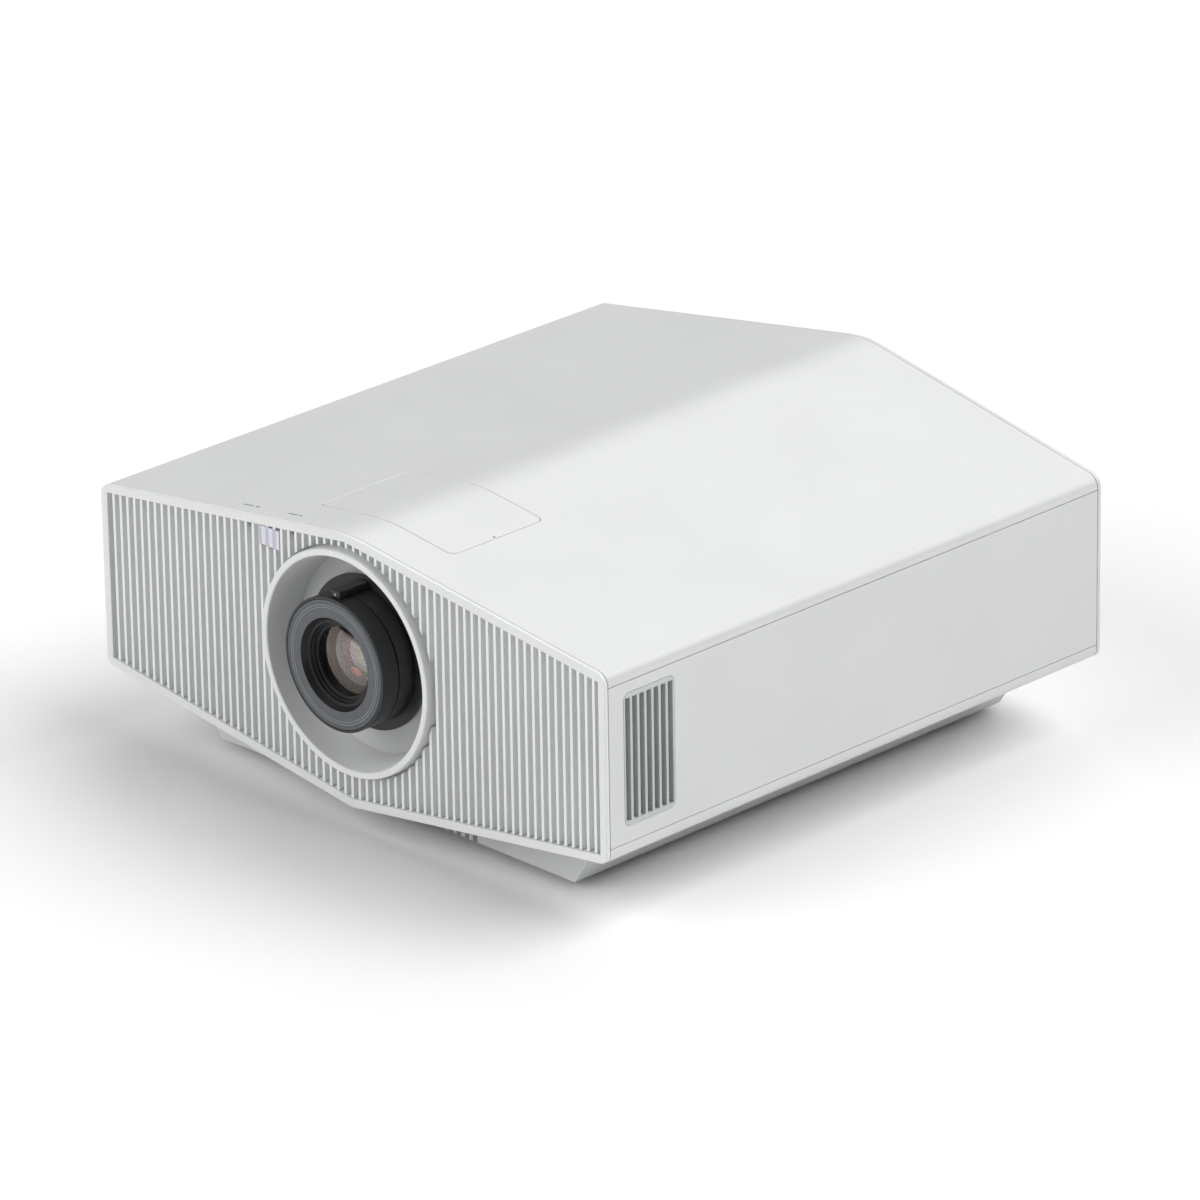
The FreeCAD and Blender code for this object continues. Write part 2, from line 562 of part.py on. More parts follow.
def status_lights():
    """Light pipes of the two status lights."""
    body = piece("status_lights")
    lights = [circle(across, up, "light_radius") for across, up in light_places()]
    grow(body, "XZ_Plane", behind("fin_set_back"), lights, "fin_depth + grille_wall")


def lens_ring():
    """White conical ring that stands a little proud of the grille and is flanged behind it."""
    back = "(fin_set_back + fin_depth + grille_wall)"
    profile = [(behind("-ring_proud"), "ring_mouth"), (behind("-ring_proud"), "ring_radius"),
               (behind(back), "ring_radius"), (behind(back), "ring_flange"),
               (behind(f"{back} + ring_plate"), "ring_flange"),
               (behind(f"{back} + ring_plate"), "ring_throat + 6"),
               (behind("ring_depth"), "ring_throat + 4"),
               (behind("ring_depth"), "ring_throat")]
    turn(piece("lens_ring"), "0", "ring_height", profile)


def band(name, start, end, inner, outer, up="lens_height"):
    """A plain ring about the lens axis: where it starts and ends behind the front face, and its radii."""
    body = piece(name)
    profile = [(behind(start), inner), (behind(start), outer), (behind(end), outer), (behind(end), inner)]
    turn(body, "0", up, profile)
    return body


def lens_barrel():
    """Fixed tube of the lens, wide at the front and narrow at the tail."""
    front, inside = "(cap_depth - lens_stand)", "(tail_start - plate)"
    profile = [(behind(front), "barrel_bore"), (behind(front), "barrel_radius"),
               (behind("tail_start"), "barrel_radius"), (behind("tail_start"), "barrel_tail"),
               (behind("barrel_length"), "barrel_tail"), (behind("barrel_length"), "tail_glass_radius"),
               (behind(inside), "tail_glass_radius"), (behind(inside), "barrel_bore")]
    turn(piece("lens_barrel"), "0", "lens_height", profile)


def name_ring():
    """Dark ring round the front glass: flat face, cone, black step, then the seat that holds the glass."""
    face, floor, lip = "-lens_stand", "(cap_depth - lens_stand)", "(stop_depth - lens_stand)"
    seat = "(seat_depth - lens_stand)"
    profile = [(behind(face), "cone_radius"), (behind(face), "face_radius"), (behind(floor), "face_radius"),
               (behind(floor), "barrel_bore"), (behind("glass_back"), "barrel_bore"),
               (behind("glass_back"), "seat_radius"), (behind(seat), "seat_radius"),
               (behind(seat), "glass_radius"),
               (behind(lip), "glass_radius"), (behind(lip), "stop_radius - 0.1"),
               (behind("cone_depth - lens_stand"), "stop_radius")]
    turn(piece("name_ring"), "0", "lens_height", profile)


def focus_ring():
    """Front grip. It turns on the barrel and wraps round the name ring's edge."""
    step = "(cap_depth + clearance - lens_stand)"
    profile = [(behind("-lens_stand"), "face_radius + clearance"), (behind("-lens_stand"), "grip_radius"),
               (behind("focus_length - lens_stand"), "grip_radius"),
               (behind("focus_length - lens_stand"), "barrel_radius + running"),
               (behind(step), "barrel_radius + running"), (behind(step), "face_radius + clearance")]
    turn(piece("focus_ring"), "0", "lens_height", profile)


def zoom_ring():
    """Second grip, with the long low lever that turns it lying forward over the focus ring."""
    body = band("zoom_ring", "zoom_start", "zoom_start + zoom_length", "barrel_radius + running", "grip_radius")
    foot_of_lever = rectangle("-lever_width / 2", "lever_width / 2", "barrel_radius + 2", "lever_top")
    bar = rectangle("-lever_width / 2", "lever_width / 2", "grip_radius + clearance", "lever_top")
    middle = ("0", "lens_height")
    grow(body, "XZ_Plane", behind("zoom_start + 1"), [foot_of_lever], "zoom_length - 1", middle)
    grow(body, "XZ_Plane", behind("zoom_start + zoom_length - lever_length"), [bar], "lever_length", middle)


def front_glass():
    """Front element: a disc whose front is part of a sphere."""
    glass = piece("front_glass", "Part::Common")
    disc = document.addObject("Part::Cylinder", "front_glass_disc")
    ball = document.addObject("Part::Sphere", "front_glass_ball")
    bind(disc, "Radius", "seat_radius")
    bind(disc, "Height", "glass_proud + glass_back")
    bind(ball, "Radius", "glass_sphere")
    for solid, along in ((disc, behind("glass_back")), (ball, behind("glass_sphere - glass_proud"))):
        bind(solid, "Placement.Base.y", along)
        bind(solid, "Placement.Base.z", "lens_height")
    disc.Placement.Rotation = FreeCAD.Rotation(FreeCAD.Vector(1, 0, 0), 90)
    glass.Base, glass.Tool = disc, ball
    document.recompute()


def shift_base():
    """Fixed frame of the lens shift: plate, foot, and the shelf that carries both dials' shafts."""
    body = piece("shift_base")
    shelf_top = "(shelf_height + shelf)"
    wide = rectangle("-base_half_width", "base_half_width", DECK, shelf_top)
    grow(body, "XZ_Plane", behind("base_start"), [wide, circle("0", "lens_height", "base_hole")], "plate")
    rear = f"({MIDDLE_STAGE} + stage / 2 - clearance)"
    flat = rectangle("-base_half_width", "base_half_width", behind("base_start + plate / 2"), behind(rear))
    grow(body, "XY_Plane", "shelf_height", [flat], "shelf")
    grow(body, "XY_Plane", DECK, [flat], "base_foot")
    arm = rectangle(f"{SIDE_DIAL} - arm_half_width", f"{SIDE_DIAL} + arm_half_width", behind(f"{rear} - 2"),
                    behind(f"{PINION} + arm_half_width"))
    grow(body, "XY_Plane", "shelf_height", [arm], "shelf")
    for sign in ("-", ""):
        rod = circle(f"{sign}upright_rod_side", behind(MIDDLE_STAGE), "rod_radius")
        cut(body, "XY_Plane", f"{DECK} + rod_foot", [rod], "ridge_height")
    cut(body, "XY_Plane", "shelf_height - 1",
        [circle(RISE_DIAL, behind(MIDDLE_STAGE), "screw_radius + running")], "shelf + 2")
    cut(body, "XY_Plane", "shelf_height - 1",
        [circle(SIDE_DIAL, behind(PINION), "screw_radius + running")], "shelf + 2")


def upright_rods():
    """Two rods that the middle carriage runs up and down on."""
    rods = [circle(f"{sign}upright_rod_side", behind(MIDDLE_STAGE), "rod_radius") for sign in ("-", "")]
    body = piece("upright_rods")
    grow(body, "XY_Plane", f"{DECK} + rod_foot", rods, f"shelf_height + shelf - {DECK} - rod_foot")


def middle_carriage():
    """Carriage that goes up and down, with ears for the level rods and a nut bore for the rise dial's screw."""
    body = piece("middle_carriage")
    low, high = "lens_height - middle_half_height", "lens_height + middle_half_height"
    outline = rectangle("-middle_half_width", "middle_half_width", low, high)
    front = behind(f"{MIDDLE_STAGE} - stage / 2")
    grow(body, "XZ_Plane", front, [outline, circle("0", "lens_height", "middle_hole")], "stage")
    for sign in ("-", ""):
        for rise in ("-", ""):
            near, far = f"{sign}(lens_half_width + shift_side + 1)", f"{sign}middle_half_width"
            left, right = (near, far) if sign == "" else (far, near)
            middle = f"lens_height + {rise}level_rod_drop"
            ear = rectangle(left, right, f"{middle} - rod_radius - rod_wall",
                            f"{middle} + rod_radius + rod_wall")
            grow(body, "XZ_Plane", front, [ear], "stage + stage_gap + lens_stage")
    for sign in ("-", ""):
        rod = circle(f"{sign}upright_rod_side", behind(MIDDLE_STAGE), "rod_radius + running")
        cut(body, "XY_Plane", "lens_height - lens_half_height - 1", [rod], "2 * lens_half_height + 2")
        rod = circle(behind(LENS_STAGE), f"lens_height + {sign}level_rod_drop", "rod_radius")
        cut(body, "YZ_Plane", "-middle_half_width - 1", [rod], "2 * middle_half_width + 2")
    nut = circle(RISE_DIAL, behind(MIDDLE_STAGE), "screw_radius + running")
    cut(body, "XY_Plane", "lens_height + middle_half_height / 2", [nut], "middle_half_height")


def level_rods():
    """Two rods, carried by the middle carriage, that the lens carriage runs sideways on."""
    rods = [circle(behind(LENS_STAGE), f"lens_height + {sign}level_rod_drop", "rod_radius")
            for sign in ("-", "")]
    body = piece("level_rods")
    grow(body, "YZ_Plane", "-middle_half_width", rods, "2 * middle_half_width")


def lens_carriage():
    """Carriage that goes from side to side and holds the lens."""
    body = piece("lens_carriage")
    outline = rectangle("-lens_half_width", "lens_half_width", "lens_height - lens_half_height",
                        "lens_height + lens_half_height")
    grow(body, "XZ_Plane", behind(f"{LENS_STAGE} - lens_stage / 2"),
         [outline, circle("0", "lens_height", "barrel_radius")], "lens_stage")
    for sign in ("-", ""):
        rod = circle(behind(LENS_STAGE), f"lens_height + {sign}level_rod_drop", "rod_radius + running")
        cut(body, "YZ_Plane", "-lens_half_width - 1", [rod], "2 * lens_half_width + 2")


def shift_dial(name, across, along, screw_foot, drum_radius, drum_top):
    """Flat thumb wheel on a shaft through the shelf. Its foot is a lead screw or a smooth pinion."""
    body = piece(name)
    at = (across, behind(along))
    wheel_low = "(shelf_height + shelf + dial_lift)"
    grow(body, "XY_Plane", wheel_low, [circle("0", "0", "dial_radius")], "dial_thickness", at)
    shaft = f"{wheel_low} - ({screw_foot}) + 1"
    grow(body, "XY_Plane", screw_foot, [circle("0", "0", "screw_radius")], shaft, at)
    if drum_radius:
        grow(body, "XY_Plane", screw_foot, [circle("0", "0", drum_radius)], f"{drum_top} - ({screw_foot})", at)


def chassis_deck():
    """Steel floor that carries the works, on posts that take the case screws."""
    body = piece("chassis_deck")
    floor = rectangle(f"-{HALF} + deck_edge", f"{HALF} - deck_edge", behind("deck_front"),
                      behind("side_depth - deck_rear"))
    grow(body, "XY_Plane", "deck_height", [floor], "deck")
    posts = [circle(across, along, "case_screw_head + 2") for across, along in case_screw_places()]
    grow(body, "XY_Plane", "pan_height + wall", posts, "deck_height - pan_height - wall + 0.5")
    bores = [circle(across, along, "case_screw_bore") for across, along in case_screw_places()]
    cut(body, "XY_Plane", "pan_height", bores, "case_screw_length + 5")


def case_screws():
    """Four screws through the base pan into the deck's posts."""
    body = piece("case_screws")
    heads = [circle(across, along, "case_screw_head") for across, along in case_screw_places()]
    shanks = [circle(across, along, "case_screw_bore") for across, along in case_screw_places()]
    grow(body, "XY_Plane", "pan_height + 0.2", heads, "wall - 1.2")
    grow(body, "XY_Plane", "pan_height + 1", shanks, "case_screw_length")


def mount_inserts():
    """Brass threaded inserts for a ceiling bracket."""
    body = piece("mount_inserts")
    rings = []
    for across, along in insert_places():
        rings += [circle(across, along, "insert_radius"), circle(across, along, "insert_bore")]
    grow(body, "XY_Plane", "pan_height", rings, "insert_length")


def foot(name, places, stem_length):
    """Round foot or feet with a stem in the pan's boss."""
    body = piece(name)
    pads = [circle(across, along, "foot_radius") for across, along in places]
    stems = [circle(across, along, "foot_stem") for across, along in places]
    grow(body, "XY_Plane", "0", pads, "pan_height - clearance")
    grow(body, "XY_Plane", "2", stems, stem_length)


def fan(name, sign):
    """Square fan frame with its struts and leg, and the rotor that turns inside it."""
    near = f"({HALF} - fan_inset - fan_depth)" if sign > 0 else f"(-{HALF} + fan_inset)"
    middle = (behind("fan_start"), "(vent_low + vent_high) / 2")
    half = "(fan_size / 2)"
    frame = piece(name + "_fan_frame")
    square = rectangle(f"-{half}", half, f"-{half}", half)
    grow(frame, "YZ_Plane", near, [square, circle("0", "0", f"{half} - fan_plate + 0.5")], "fan_depth", middle)
    grow(frame, "YZ_Plane", near, [circle("0", "0", "fan_hub")], "fan_plate", middle)
    long, short = (f"-{half} + 1", f"{half} - 1"), ("-fan_bar / 2", "fan_bar / 2")
    for bar in (rectangle(*long, *short), rectangle(*short, *long)):
        grow(frame, "YZ_Plane", near, [bar], "fan_plate", middle)
    edge = f"({HALF} - fan_inset - fan_depth)" if sign > 0 else f"(-{HALF} + fan_inset + fan_depth - fan_leg)"
    leg = rectangle(edge, f"{edge} + fan_leg", behind("fan_start - 18"), behind("fan_start + 25"))
    grow(frame, "XY_Plane", DECK, [leg], f"{middle[1]} - {half} - {DECK} + 1")
    rotor = piece(name + "_fan_rotor")
    hub = grow(rotor, "YZ_Plane", f"{near} + fan_plate + 0.5", [circle("0", "0", "fan_hub")],
               "fan_depth - 5", middle)
    start, end = f"({near} + 5)", f"({near} + fan_depth - 3)"
    blade = [(start, f"{middle[0]} - 8"), (start, f"{middle[0]} - 6"), (end, f"{middle[0]} + 8"),
             (end, f"{middle[0]} + 6")]
    root = f"({middle[1]} + fan_hub - 2.5)"
    vane = grow(rotor, "XY_Plane", root, [blade], f"{half} - 4 - fan_hub")
    polar(rotor, vane, hub.Profile[0], "fan_blades")


def light_engine():
    """Cast housing behind the lens that holds the imaging chip and the prism."""
    body = piece("light_engine")
    half = "(engine_width / 2)"
    rear = "(engine_start + engine_length)"
    block = rectangle(f"-{half}", half, behind("engine_start"), behind(rear))
    grow(body, "XY_Plane", DECK, [block], f"lens_height + engine_rise - {DECK}")
    soften(body, "engine_round", 2, lambda at: True)
    step = rectangle(f"-{half} - 1", "-engine_width / 13", behind(f"{rear} - engine_length / 2"),
                     behind(f"{rear} + 1"))
    cut(body, "XY_Plane", "lens_height + engine_step", [step], "engine_rise")
    nozzle = circle("0", "lens_height", "barrel_tail + nozzle_wall")
    grow(body, "XZ_Plane", behind("barrel_length + 5"), [nozzle], "nozzle_length")
    cut(body, "XZ_Plane", behind("barrel_length + 4"), [circle("0", "lens_height", "barrel_tail - 2")],
        "nozzle_length - 4")


def lid_slots(body, left, right, first, top, spread, count):
    """A row of cooling slots cut across the top of a box."""
    slot = cut(body, "XY_Plane", f"{top} - cut_depth", [rectangle(left, right, behind(first),
               behind(f"{first} + cut_width"))], "cut_depth + 1")
    repeat(body, slot, "Y_Axis", spread, count)


def light_source():
    """Sealed lamp module beside the light engine."""
    near, far = "engine_width / 2", "engine_width / 2 + lamp_width"
    body = box("light_source", near, far, behind("lamp_start"), behind("lamp_start + lamp_length"), DECK,
               "works_height")
    inside = value("engine_width / 2 + lamp_round")
    soften(body, "lamp_round", 2, lambda at: at.x > inside)
    lid_slots(body, f"{near} + 8", f"{far} - 8", "lamp_start + 10", "works_height",
              "lamp_slot_pitch * (lamp_slots - 1)", "lamp_slots")


def heat_sink():
    """Finned aluminium block on the light source."""
    start = "(engine_width / 2 + lamp_width)"
    body = box("heat_sink", start, f"{start} + sink_root", behind("lamp_start"),
               behind("lamp_start + lamp_length"), DECK, "works_height")
    blade = rectangle(f"{start} + sink_root / 2", f"{start} + sink_reach", behind("lamp_start + 2"),
                      behind("lamp_start + 2 + sink_fin"))
    fin = grow(body, "XY_Plane", DECK, [blade], f"works_height - {DECK}")
    repeat(body, fin, "Y_Axis", "sink_pitch * (sink_fins - 1)", "sink_fins")


def power_supply():
    """Power supply in a slotted metal box."""
    left = f"(-{HALF} + supply_edge)"
    body = box("power_supply", left, f"{left} + supply_width", behind("supply_start"),
               behind("supply_start + supply_length"), DECK, "supply_height")
    lid_slots(body, f"{left} + 10", f"{left} + supply_width - 10", "supply_start + 15", "supply_height",
              "supply_length - 40", "supply_slots")


JACKS = (106, 119, 132)
SOCKETS = {
    # Middles along X from the bay's right-hand end, width, height and wall.
    "video_sockets": ((15, 38), 15.2, 6.8, 0.6),
    "data_sockets": ((61,), 14.4, 7.2, 0.6),
    "network_socket": ((85,), 17, 14.5, 1.2),
}


def socket_outline(offset, width, height, grown):
    """Outline of one socket in the bay, made larger by grown."""
    across = f"(bay_right - {offset})"
    middle = "(bay_low + socket_rise)"
    return rectangle(f"{across} - {width} / 2 - ({grown})", f"{across} + {width} / 2 + ({grown})",
                     f"{middle} - {height} / 2 - ({grown})", f"{middle} + {height} / 2 + ({grown})")


def jack_places():
    """Middles of the round jacks."""
    return [(f"bay_right - {offset}", "bay_low + socket_rise") for offset in JACKS]


INLET = (f"(-{HALF} + bay_edge + inlet_in)", "(bay_low + inlet_rise)")


def inlet_outline(grown):
    """Outline of the mains inlet, made larger by grown."""
    across, up = INLET
    wide, tall = f"inlet_half_width + ({grown})", f"inlet_half_height + ({grown})"
    return rectangle(f"{across} - ({wide})", f"{across} + {wide}", f"{up} - ({tall})", f"{up} + {tall}")


def connector_plate():
    """Plate at the back of the connector bay, with walls out to the rear panel."""
    body = piece("connector_plate")
    outer = rectangle(f"-{HALF} + bay_edge - bay_wall", "bay_right + bay_wall", "bay_low - bay_wall",
                      "bay_high + bay_wall")
    window = rectangle(f"-{HALF} + bay_edge", "bay_right", "bay_low", "bay_high")
    grow(body, "XZ_Plane", behind("bay_start"), [outer], "8")
    cut(body, "XZ_Plane", behind("bay_start + bay_wall"), [window], "10")
    holes = [inlet_outline("clearance")]
    for middles, width, height, _ in SOCKETS.values():
        holes += [socket_outline(offset, width, height, "clearance") for offset in middles]
    holes += [circle(across, up, "jack_radius + clearance") for across, up in jack_places()]
    cut(body, "XZ_Plane", behind("bay_start - 1"), holes, "bay_wall + 2")


# The board's larger chips: left, right, low and high edges.
CHIPS = ((-40, -10, 95, 125), (5, 17, 80, 96), (24, 36, 80, 96), (-70, -56, 100, 130))


def main_board():
    """Circuit board that stands behind the connector plate, with its larger chips."""
    left = f"(-{HALF} + bay_edge + inlet_in + 22)"
    body = piece("main_board")
    grow(body, "XZ_Plane", behind("board_start"), [rectangle(left, "bay_right", DECK, "works_height")], "board")
    chips = [rectangle(*map(str, edges)) for edges in CHIPS]
    grow(body, "XZ_Plane", behind("board_start - chip"), chips, "chip + board / 3")


def sockets():
    """Open metal sockets soldered to the board, and the round jacks."""
    start = behind("board_start + board")
    length = "bay_start + 3 - board_start - board"
    for name, (middles, width, height, thickness) in SOCKETS.items():
        body = piece(name)
        shells = [socket_outline(offset, width, height, "0") for offset in middles]
        grow(body, "XZ_Plane", start, shells, length)
        insides = [socket_outline(offset, width, height, f"-{thickness}") for offset in middles]
        cut(body, "XZ_Plane", f"{start} + bay_wall", insides, length)
    jacks = piece("jack_sockets")
    grow(jacks, "XZ_Plane", start, [circle(across, up, "jack_radius") for across, up in jack_places()], length)
    bores = [circle(across, up, "jack_bore") for across, up in jack_places()]
    cut(jacks, "XZ_Plane", f"{start} + bay_wall", bores, length)


def power_inlet():
    """Three-pin mains inlet."""
    body = piece("power_inlet")
    across, up = INLET
    start = behind("bay_start - inlet_depth")
    grow(body, "XZ_Plane", start, [inlet_outline("0")], "inlet_depth + 3")
    cut(body, "XZ_Plane", f"{start} + 6", [inlet_outline("-inlet_wall")], "inlet_depth")
    pins = [rectangle(f"{across} + {offset} - 1", f"{across} + {offset} + 1", f"{up} - 2", f"{up} + 2")
            for offset in (-7, 0, 7)]
    grow(body, "XZ_Plane", f"{start} + 5", pins, "14")


# Each key's place in rows: along Y, then up.
KEYS = {"power_key": ("0", "key_step"), "up_key": ("0", "1"), "left_key": ("-1", "0"), "enter_key": ("0", "0"),
        "right_key": ("1", "0"), "down_key": ("0", "-1"), "menu_key": ("0", "-key_step")}


def key_place(name):
    """Middle of a key on the left side, along Y and Z."""
    along, up = KEYS[name]
    return behind(f"key_front + ({along}) * key_row"), f"(key_height + ({up}) * key_row)"


def key_plate_outline(grown):
    """Outline of the plate round the keys, made larger by grown."""
    reach = "(key_row + key_radius + key_border)"
    rise = "(key_step * key_row + key_radius + key_border - 1)"
    middle = behind("key_front")
    return rectangle(f"{middle} - {reach} - ({grown})", f"{middle} + {reach} + ({grown})",
                     f"key_height - {rise} - ({grown})", f"key_height + {rise} + ({grown})")


def key_plate():
    """Sunk plate in the left side that guides the keys."""
    body = piece("key_plate")
    grow(body, "YZ_Plane", f"-{HALF} + key_sink", [key_plate_outline("-seam / 2")], "key_plate")
    holes = [circle(*key_place(name), "key_radius + clearance") for name in KEYS]
    cut(body, "YZ_Plane", f"-{HALF} + key_sink - 1", holes, "key_plate + 2")


def key_board():
    """Small board behind the keys, with a switch under each of them."""
    body = piece("key_board")
    grow(body, "YZ_Plane", f"-{HALF} + key_board_depth", [key_plate_outline("-seam / 2")], "board")
    switches = [circle(*key_place(name), "switch_radius") for name in KEYS]
    grow(body, "YZ_Plane", f"-{HALF} + key_board_depth - 1.2", switches, "1.2 + board / 2")


def key(name):
    """Round key with a collar that keeps it behind the plate."""
    body = piece(name)
    place_of_key = key_place(name)
    grow(body, "YZ_Plane", f"-{HALF} + key_face", [circle(*place_of_key, "key_radius")], "key_length")
    collar = circle(*place_of_key, "key_radius + key_collar")
    grow(body, "YZ_Plane", f"-{HALF} + key_sink + key_plate + clearance", [collar], "1")


top_cover()
dial_cover()
dial_tray()
bottom_cover()
base_pan()
side_panel("right_side_panel", 1)
side_panel("left_side_panel", -1)
vent_grille("right_vent", 1)
vent_grille("left_vent", -1)
rear_panel()
front_bezel()
front_grille()
remote_window()
status_lights()
lens_ring()
band("lens_shield", "ring_depth", "ring_depth + ring_plate", "shield_hole", "ring_throat + 4", "ring_height")
lens_barrel()
band("lens_flange", "flange_start", "flange_start + flange_length", "barrel_radius", "flange_radius")
name_ring()
focus_ring()
zoom_ring()
front_glass()
shift_base()
upright_rods()
middle_carriage()
level_rods()
lens_carriage()
shift_dial("rise_dial", RISE_DIAL, MIDDLE_STAGE, "lens_height + screw_reach", None, None)
shift_dial("side_dial", SIDE_DIAL, PINION, "lens_height + pinion_reach", "pinion_radius", "shelf_height - 3")
chassis_deck()
case_screws()
mount_inserts()
foot("front_left_foot", foot_places()[:1], "front_stem")
foot("front_right_foot", foot_places()[1:2], "front_stem")
foot("rear_feet", foot_places()[2:], "rear_stem")
fan("intake", 1)
fan("exhaust", -1)
box("air_filter", f"{HALF} - vent_depth - filter_depth - clearance", f"{HALF} - vent_depth - clearance",
    behind("vent_front - 2"), behind("vent_front + vent_width + 2"), "vent_low - 4", "vent_high + 4")
light_engine()
light_source()
heat_sink()
power_supply()
main_board()
connector_plate()
sockets()
power_inlet()
key_plate()
key_board()
for key_name in KEYS:
    key(key_name)

document.recompute()
for thing in document.Objects:
    if "Invalid" in thing.State or "Error" in thing.State:
        raise ValueError(f"{thing.Label} failed: {thing.State}")
for thing in pieces:
    if thing.Shape.isNull() or not thing.Shape.isValid():
        raise ValueError(f"{thing.Label} has no valid shape")

os.makedirs("parts", exist_ok=True)
for thing in pieces:
    thing.Shape.exportStep(f"parts/{thing.Label}.step")
print(len(pieces), "sub-parts")
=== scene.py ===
# %% [markdown]
# # Dressing a home projector
# A working model of a home-cinema projector already exists: every panel, ring, carriage, key and foot is
# in its place and moves on its joint. This lesson gives that model its looks. The real thing is mostly
# moulded white ABS with a satin skin, so the work is in soft edges, fine seams, crisp ribs and a lens
# that looks deep.

# %% Load the working model
import json
import math

import bmesh
import bpy
from mathutils import Matrix, Vector


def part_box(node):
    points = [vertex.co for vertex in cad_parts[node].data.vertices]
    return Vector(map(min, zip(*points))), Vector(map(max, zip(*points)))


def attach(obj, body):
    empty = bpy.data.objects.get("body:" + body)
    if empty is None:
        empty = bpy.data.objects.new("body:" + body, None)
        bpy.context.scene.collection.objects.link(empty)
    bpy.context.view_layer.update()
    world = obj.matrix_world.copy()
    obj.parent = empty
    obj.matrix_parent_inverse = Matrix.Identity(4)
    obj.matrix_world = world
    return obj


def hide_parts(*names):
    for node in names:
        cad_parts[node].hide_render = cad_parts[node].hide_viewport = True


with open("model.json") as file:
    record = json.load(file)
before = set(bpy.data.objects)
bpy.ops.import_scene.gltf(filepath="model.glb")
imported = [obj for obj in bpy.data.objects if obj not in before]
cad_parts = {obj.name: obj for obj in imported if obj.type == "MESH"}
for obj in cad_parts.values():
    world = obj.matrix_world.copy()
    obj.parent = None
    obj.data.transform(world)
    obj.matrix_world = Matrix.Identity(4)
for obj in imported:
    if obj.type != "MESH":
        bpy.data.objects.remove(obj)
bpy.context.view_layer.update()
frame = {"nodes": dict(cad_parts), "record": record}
MM = 0.001
nodes = frame["nodes"]
body_of = {node: body for body, members in frame["record"]["behaviour"]["bodies"].items() for node in members}

# %% [markdown]
# ## Landmarks
# Everything is placed from the model itself. The front frame's face, the lens axis and the white ring's
# axis are the three landmarks that the pieces below are measured from. Lengths are in millimetres until
# they are used.

# %% Find the landmarks
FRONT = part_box("front_bezel")[0].y / MM
HALF_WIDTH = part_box("front_bezel")[1].x / MM


def middle_height(node):
    """Height of a node's middle, in millimetres."""
    low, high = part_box(node)
    return (low.z + high.z) / 2 / MM


LENS_Z = middle_height("focus_ring")
RING_Z = middle_height("lens_ring")
print(f"front face at y {FRONT:.2f} mm, lens axis at z {LENS_Z:.2f}, ring axis at z {RING_Z:.2f}")

# %% [markdown]
# ## Colours and nodes
# Colours are written as sRGB hex, the way a colour chart gives them, and turned to the linear values that
# the shaders work in. One small helper adds a node with its settings and its links, so that each finish
# below reads as a short recipe.

# %% Colour and node helpers


def linear(hex_colour):
    """An sRGB hex colour as linear RGBA."""
    channels = [int(hex_colour[place:place + 2], 16) / 255 for place in (0, 2, 4)]
    return [c / 12.92 if c <= 0.04045 else ((c + 0.055) / 1.055) ** 2.4 for c in channels] + [1.0]


def add_node(tree, kind, settings=(), links=()):
    """A node with its settings, which name a socket or a property, and its incoming links."""
    made = tree.nodes.new(kind)
    for name, value in dict(settings).items():
        if name in made.inputs:
            made.inputs[name].default_value = value
        else:
            setattr(made, name, value)
    for name, source in dict(links).items():
        tree.links.new(source, made.inputs[name])
    return made


def new_finish(name, **shader):
    """A material with one Principled shader. Underscores in the settings' names stand for spaces."""
    material = bpy.data.materials.new(name)
    material.use_nodes = True
    tree = material.node_tree
    principled = tree.nodes["Principled BSDF"]
    for setting, value in shader.items():
        principled.inputs[setting.replace("_", " ")].default_value = value
    place = add_node(tree, "ShaderNodeTexCoord").outputs["Object"]
    return material, tree, principled, place


# A Wave texture at Scale 1 repeats every 0.314 of its coordinate.
WAVE = 0.314


def wave_scale(pitch_mm):
    """Scale that makes a Wave texture repeat every pitch_mm."""
    return WAVE / (pitch_mm * MM)


def grain(tree, place, size_mm, detail=2.0):
    """Noise whose lumps are about size_mm across."""
    return add_node(tree, "ShaderNodeTexNoise", {"Scale": 1 / (size_mm * MM), "Detail": detail},
                    {"Vector": place}).outputs["Fac"]


def two_tone(tree, source, low, high, start=0.3, end=0.7):
    """A colour ramp between two hex colours."""
    ramp = add_node(tree, "ShaderNodeValToRGB", {}, {"Fac": source})
    ramp.color_ramp.elements[0].position = start
    ramp.color_ramp.elements[1].position = end
    ramp.color_ramp.elements[0].color = linear(low)
    ramp.color_ramp.elements[1].color = linear(high)
    return ramp.outputs["Color"]


def spread(tree, source, low, high):
    """Stretches a 0 to 1 pattern over a range of numbers."""
    ranged = add_node(tree, "ShaderNodeMapRange", {"To Min": low, "To Max": high}, {"Value": source})
    return ranged.outputs["Result"]


def bumped(tree, principled, height, depth_mm, strength=1.0):
    """Raises a pattern by depth_mm without touching the mesh."""
    bump = add_node(tree, "ShaderNodeBump", {"Distance": depth_mm * MM, "Strength": strength},
                    {"Height": height})
    tree.links.new(bump.outputs["Normal"], principled.inputs["Normal"])


# %% [markdown]
# ## Moulded ABS and its relatives
# The case is injection-moulded ABS from a spark-eroded tool: the skin has a very fine, even grain that
# breaks up reflections, so it looks satin and never glossy. The real grain is about 0.1 mm, too fine to
# show, so it is drawn at about 0.5 mm. The same recipe with other colours and grain gives the grey vents,
# the black plastics and rubber.

# %% Moulded plastics and rubber


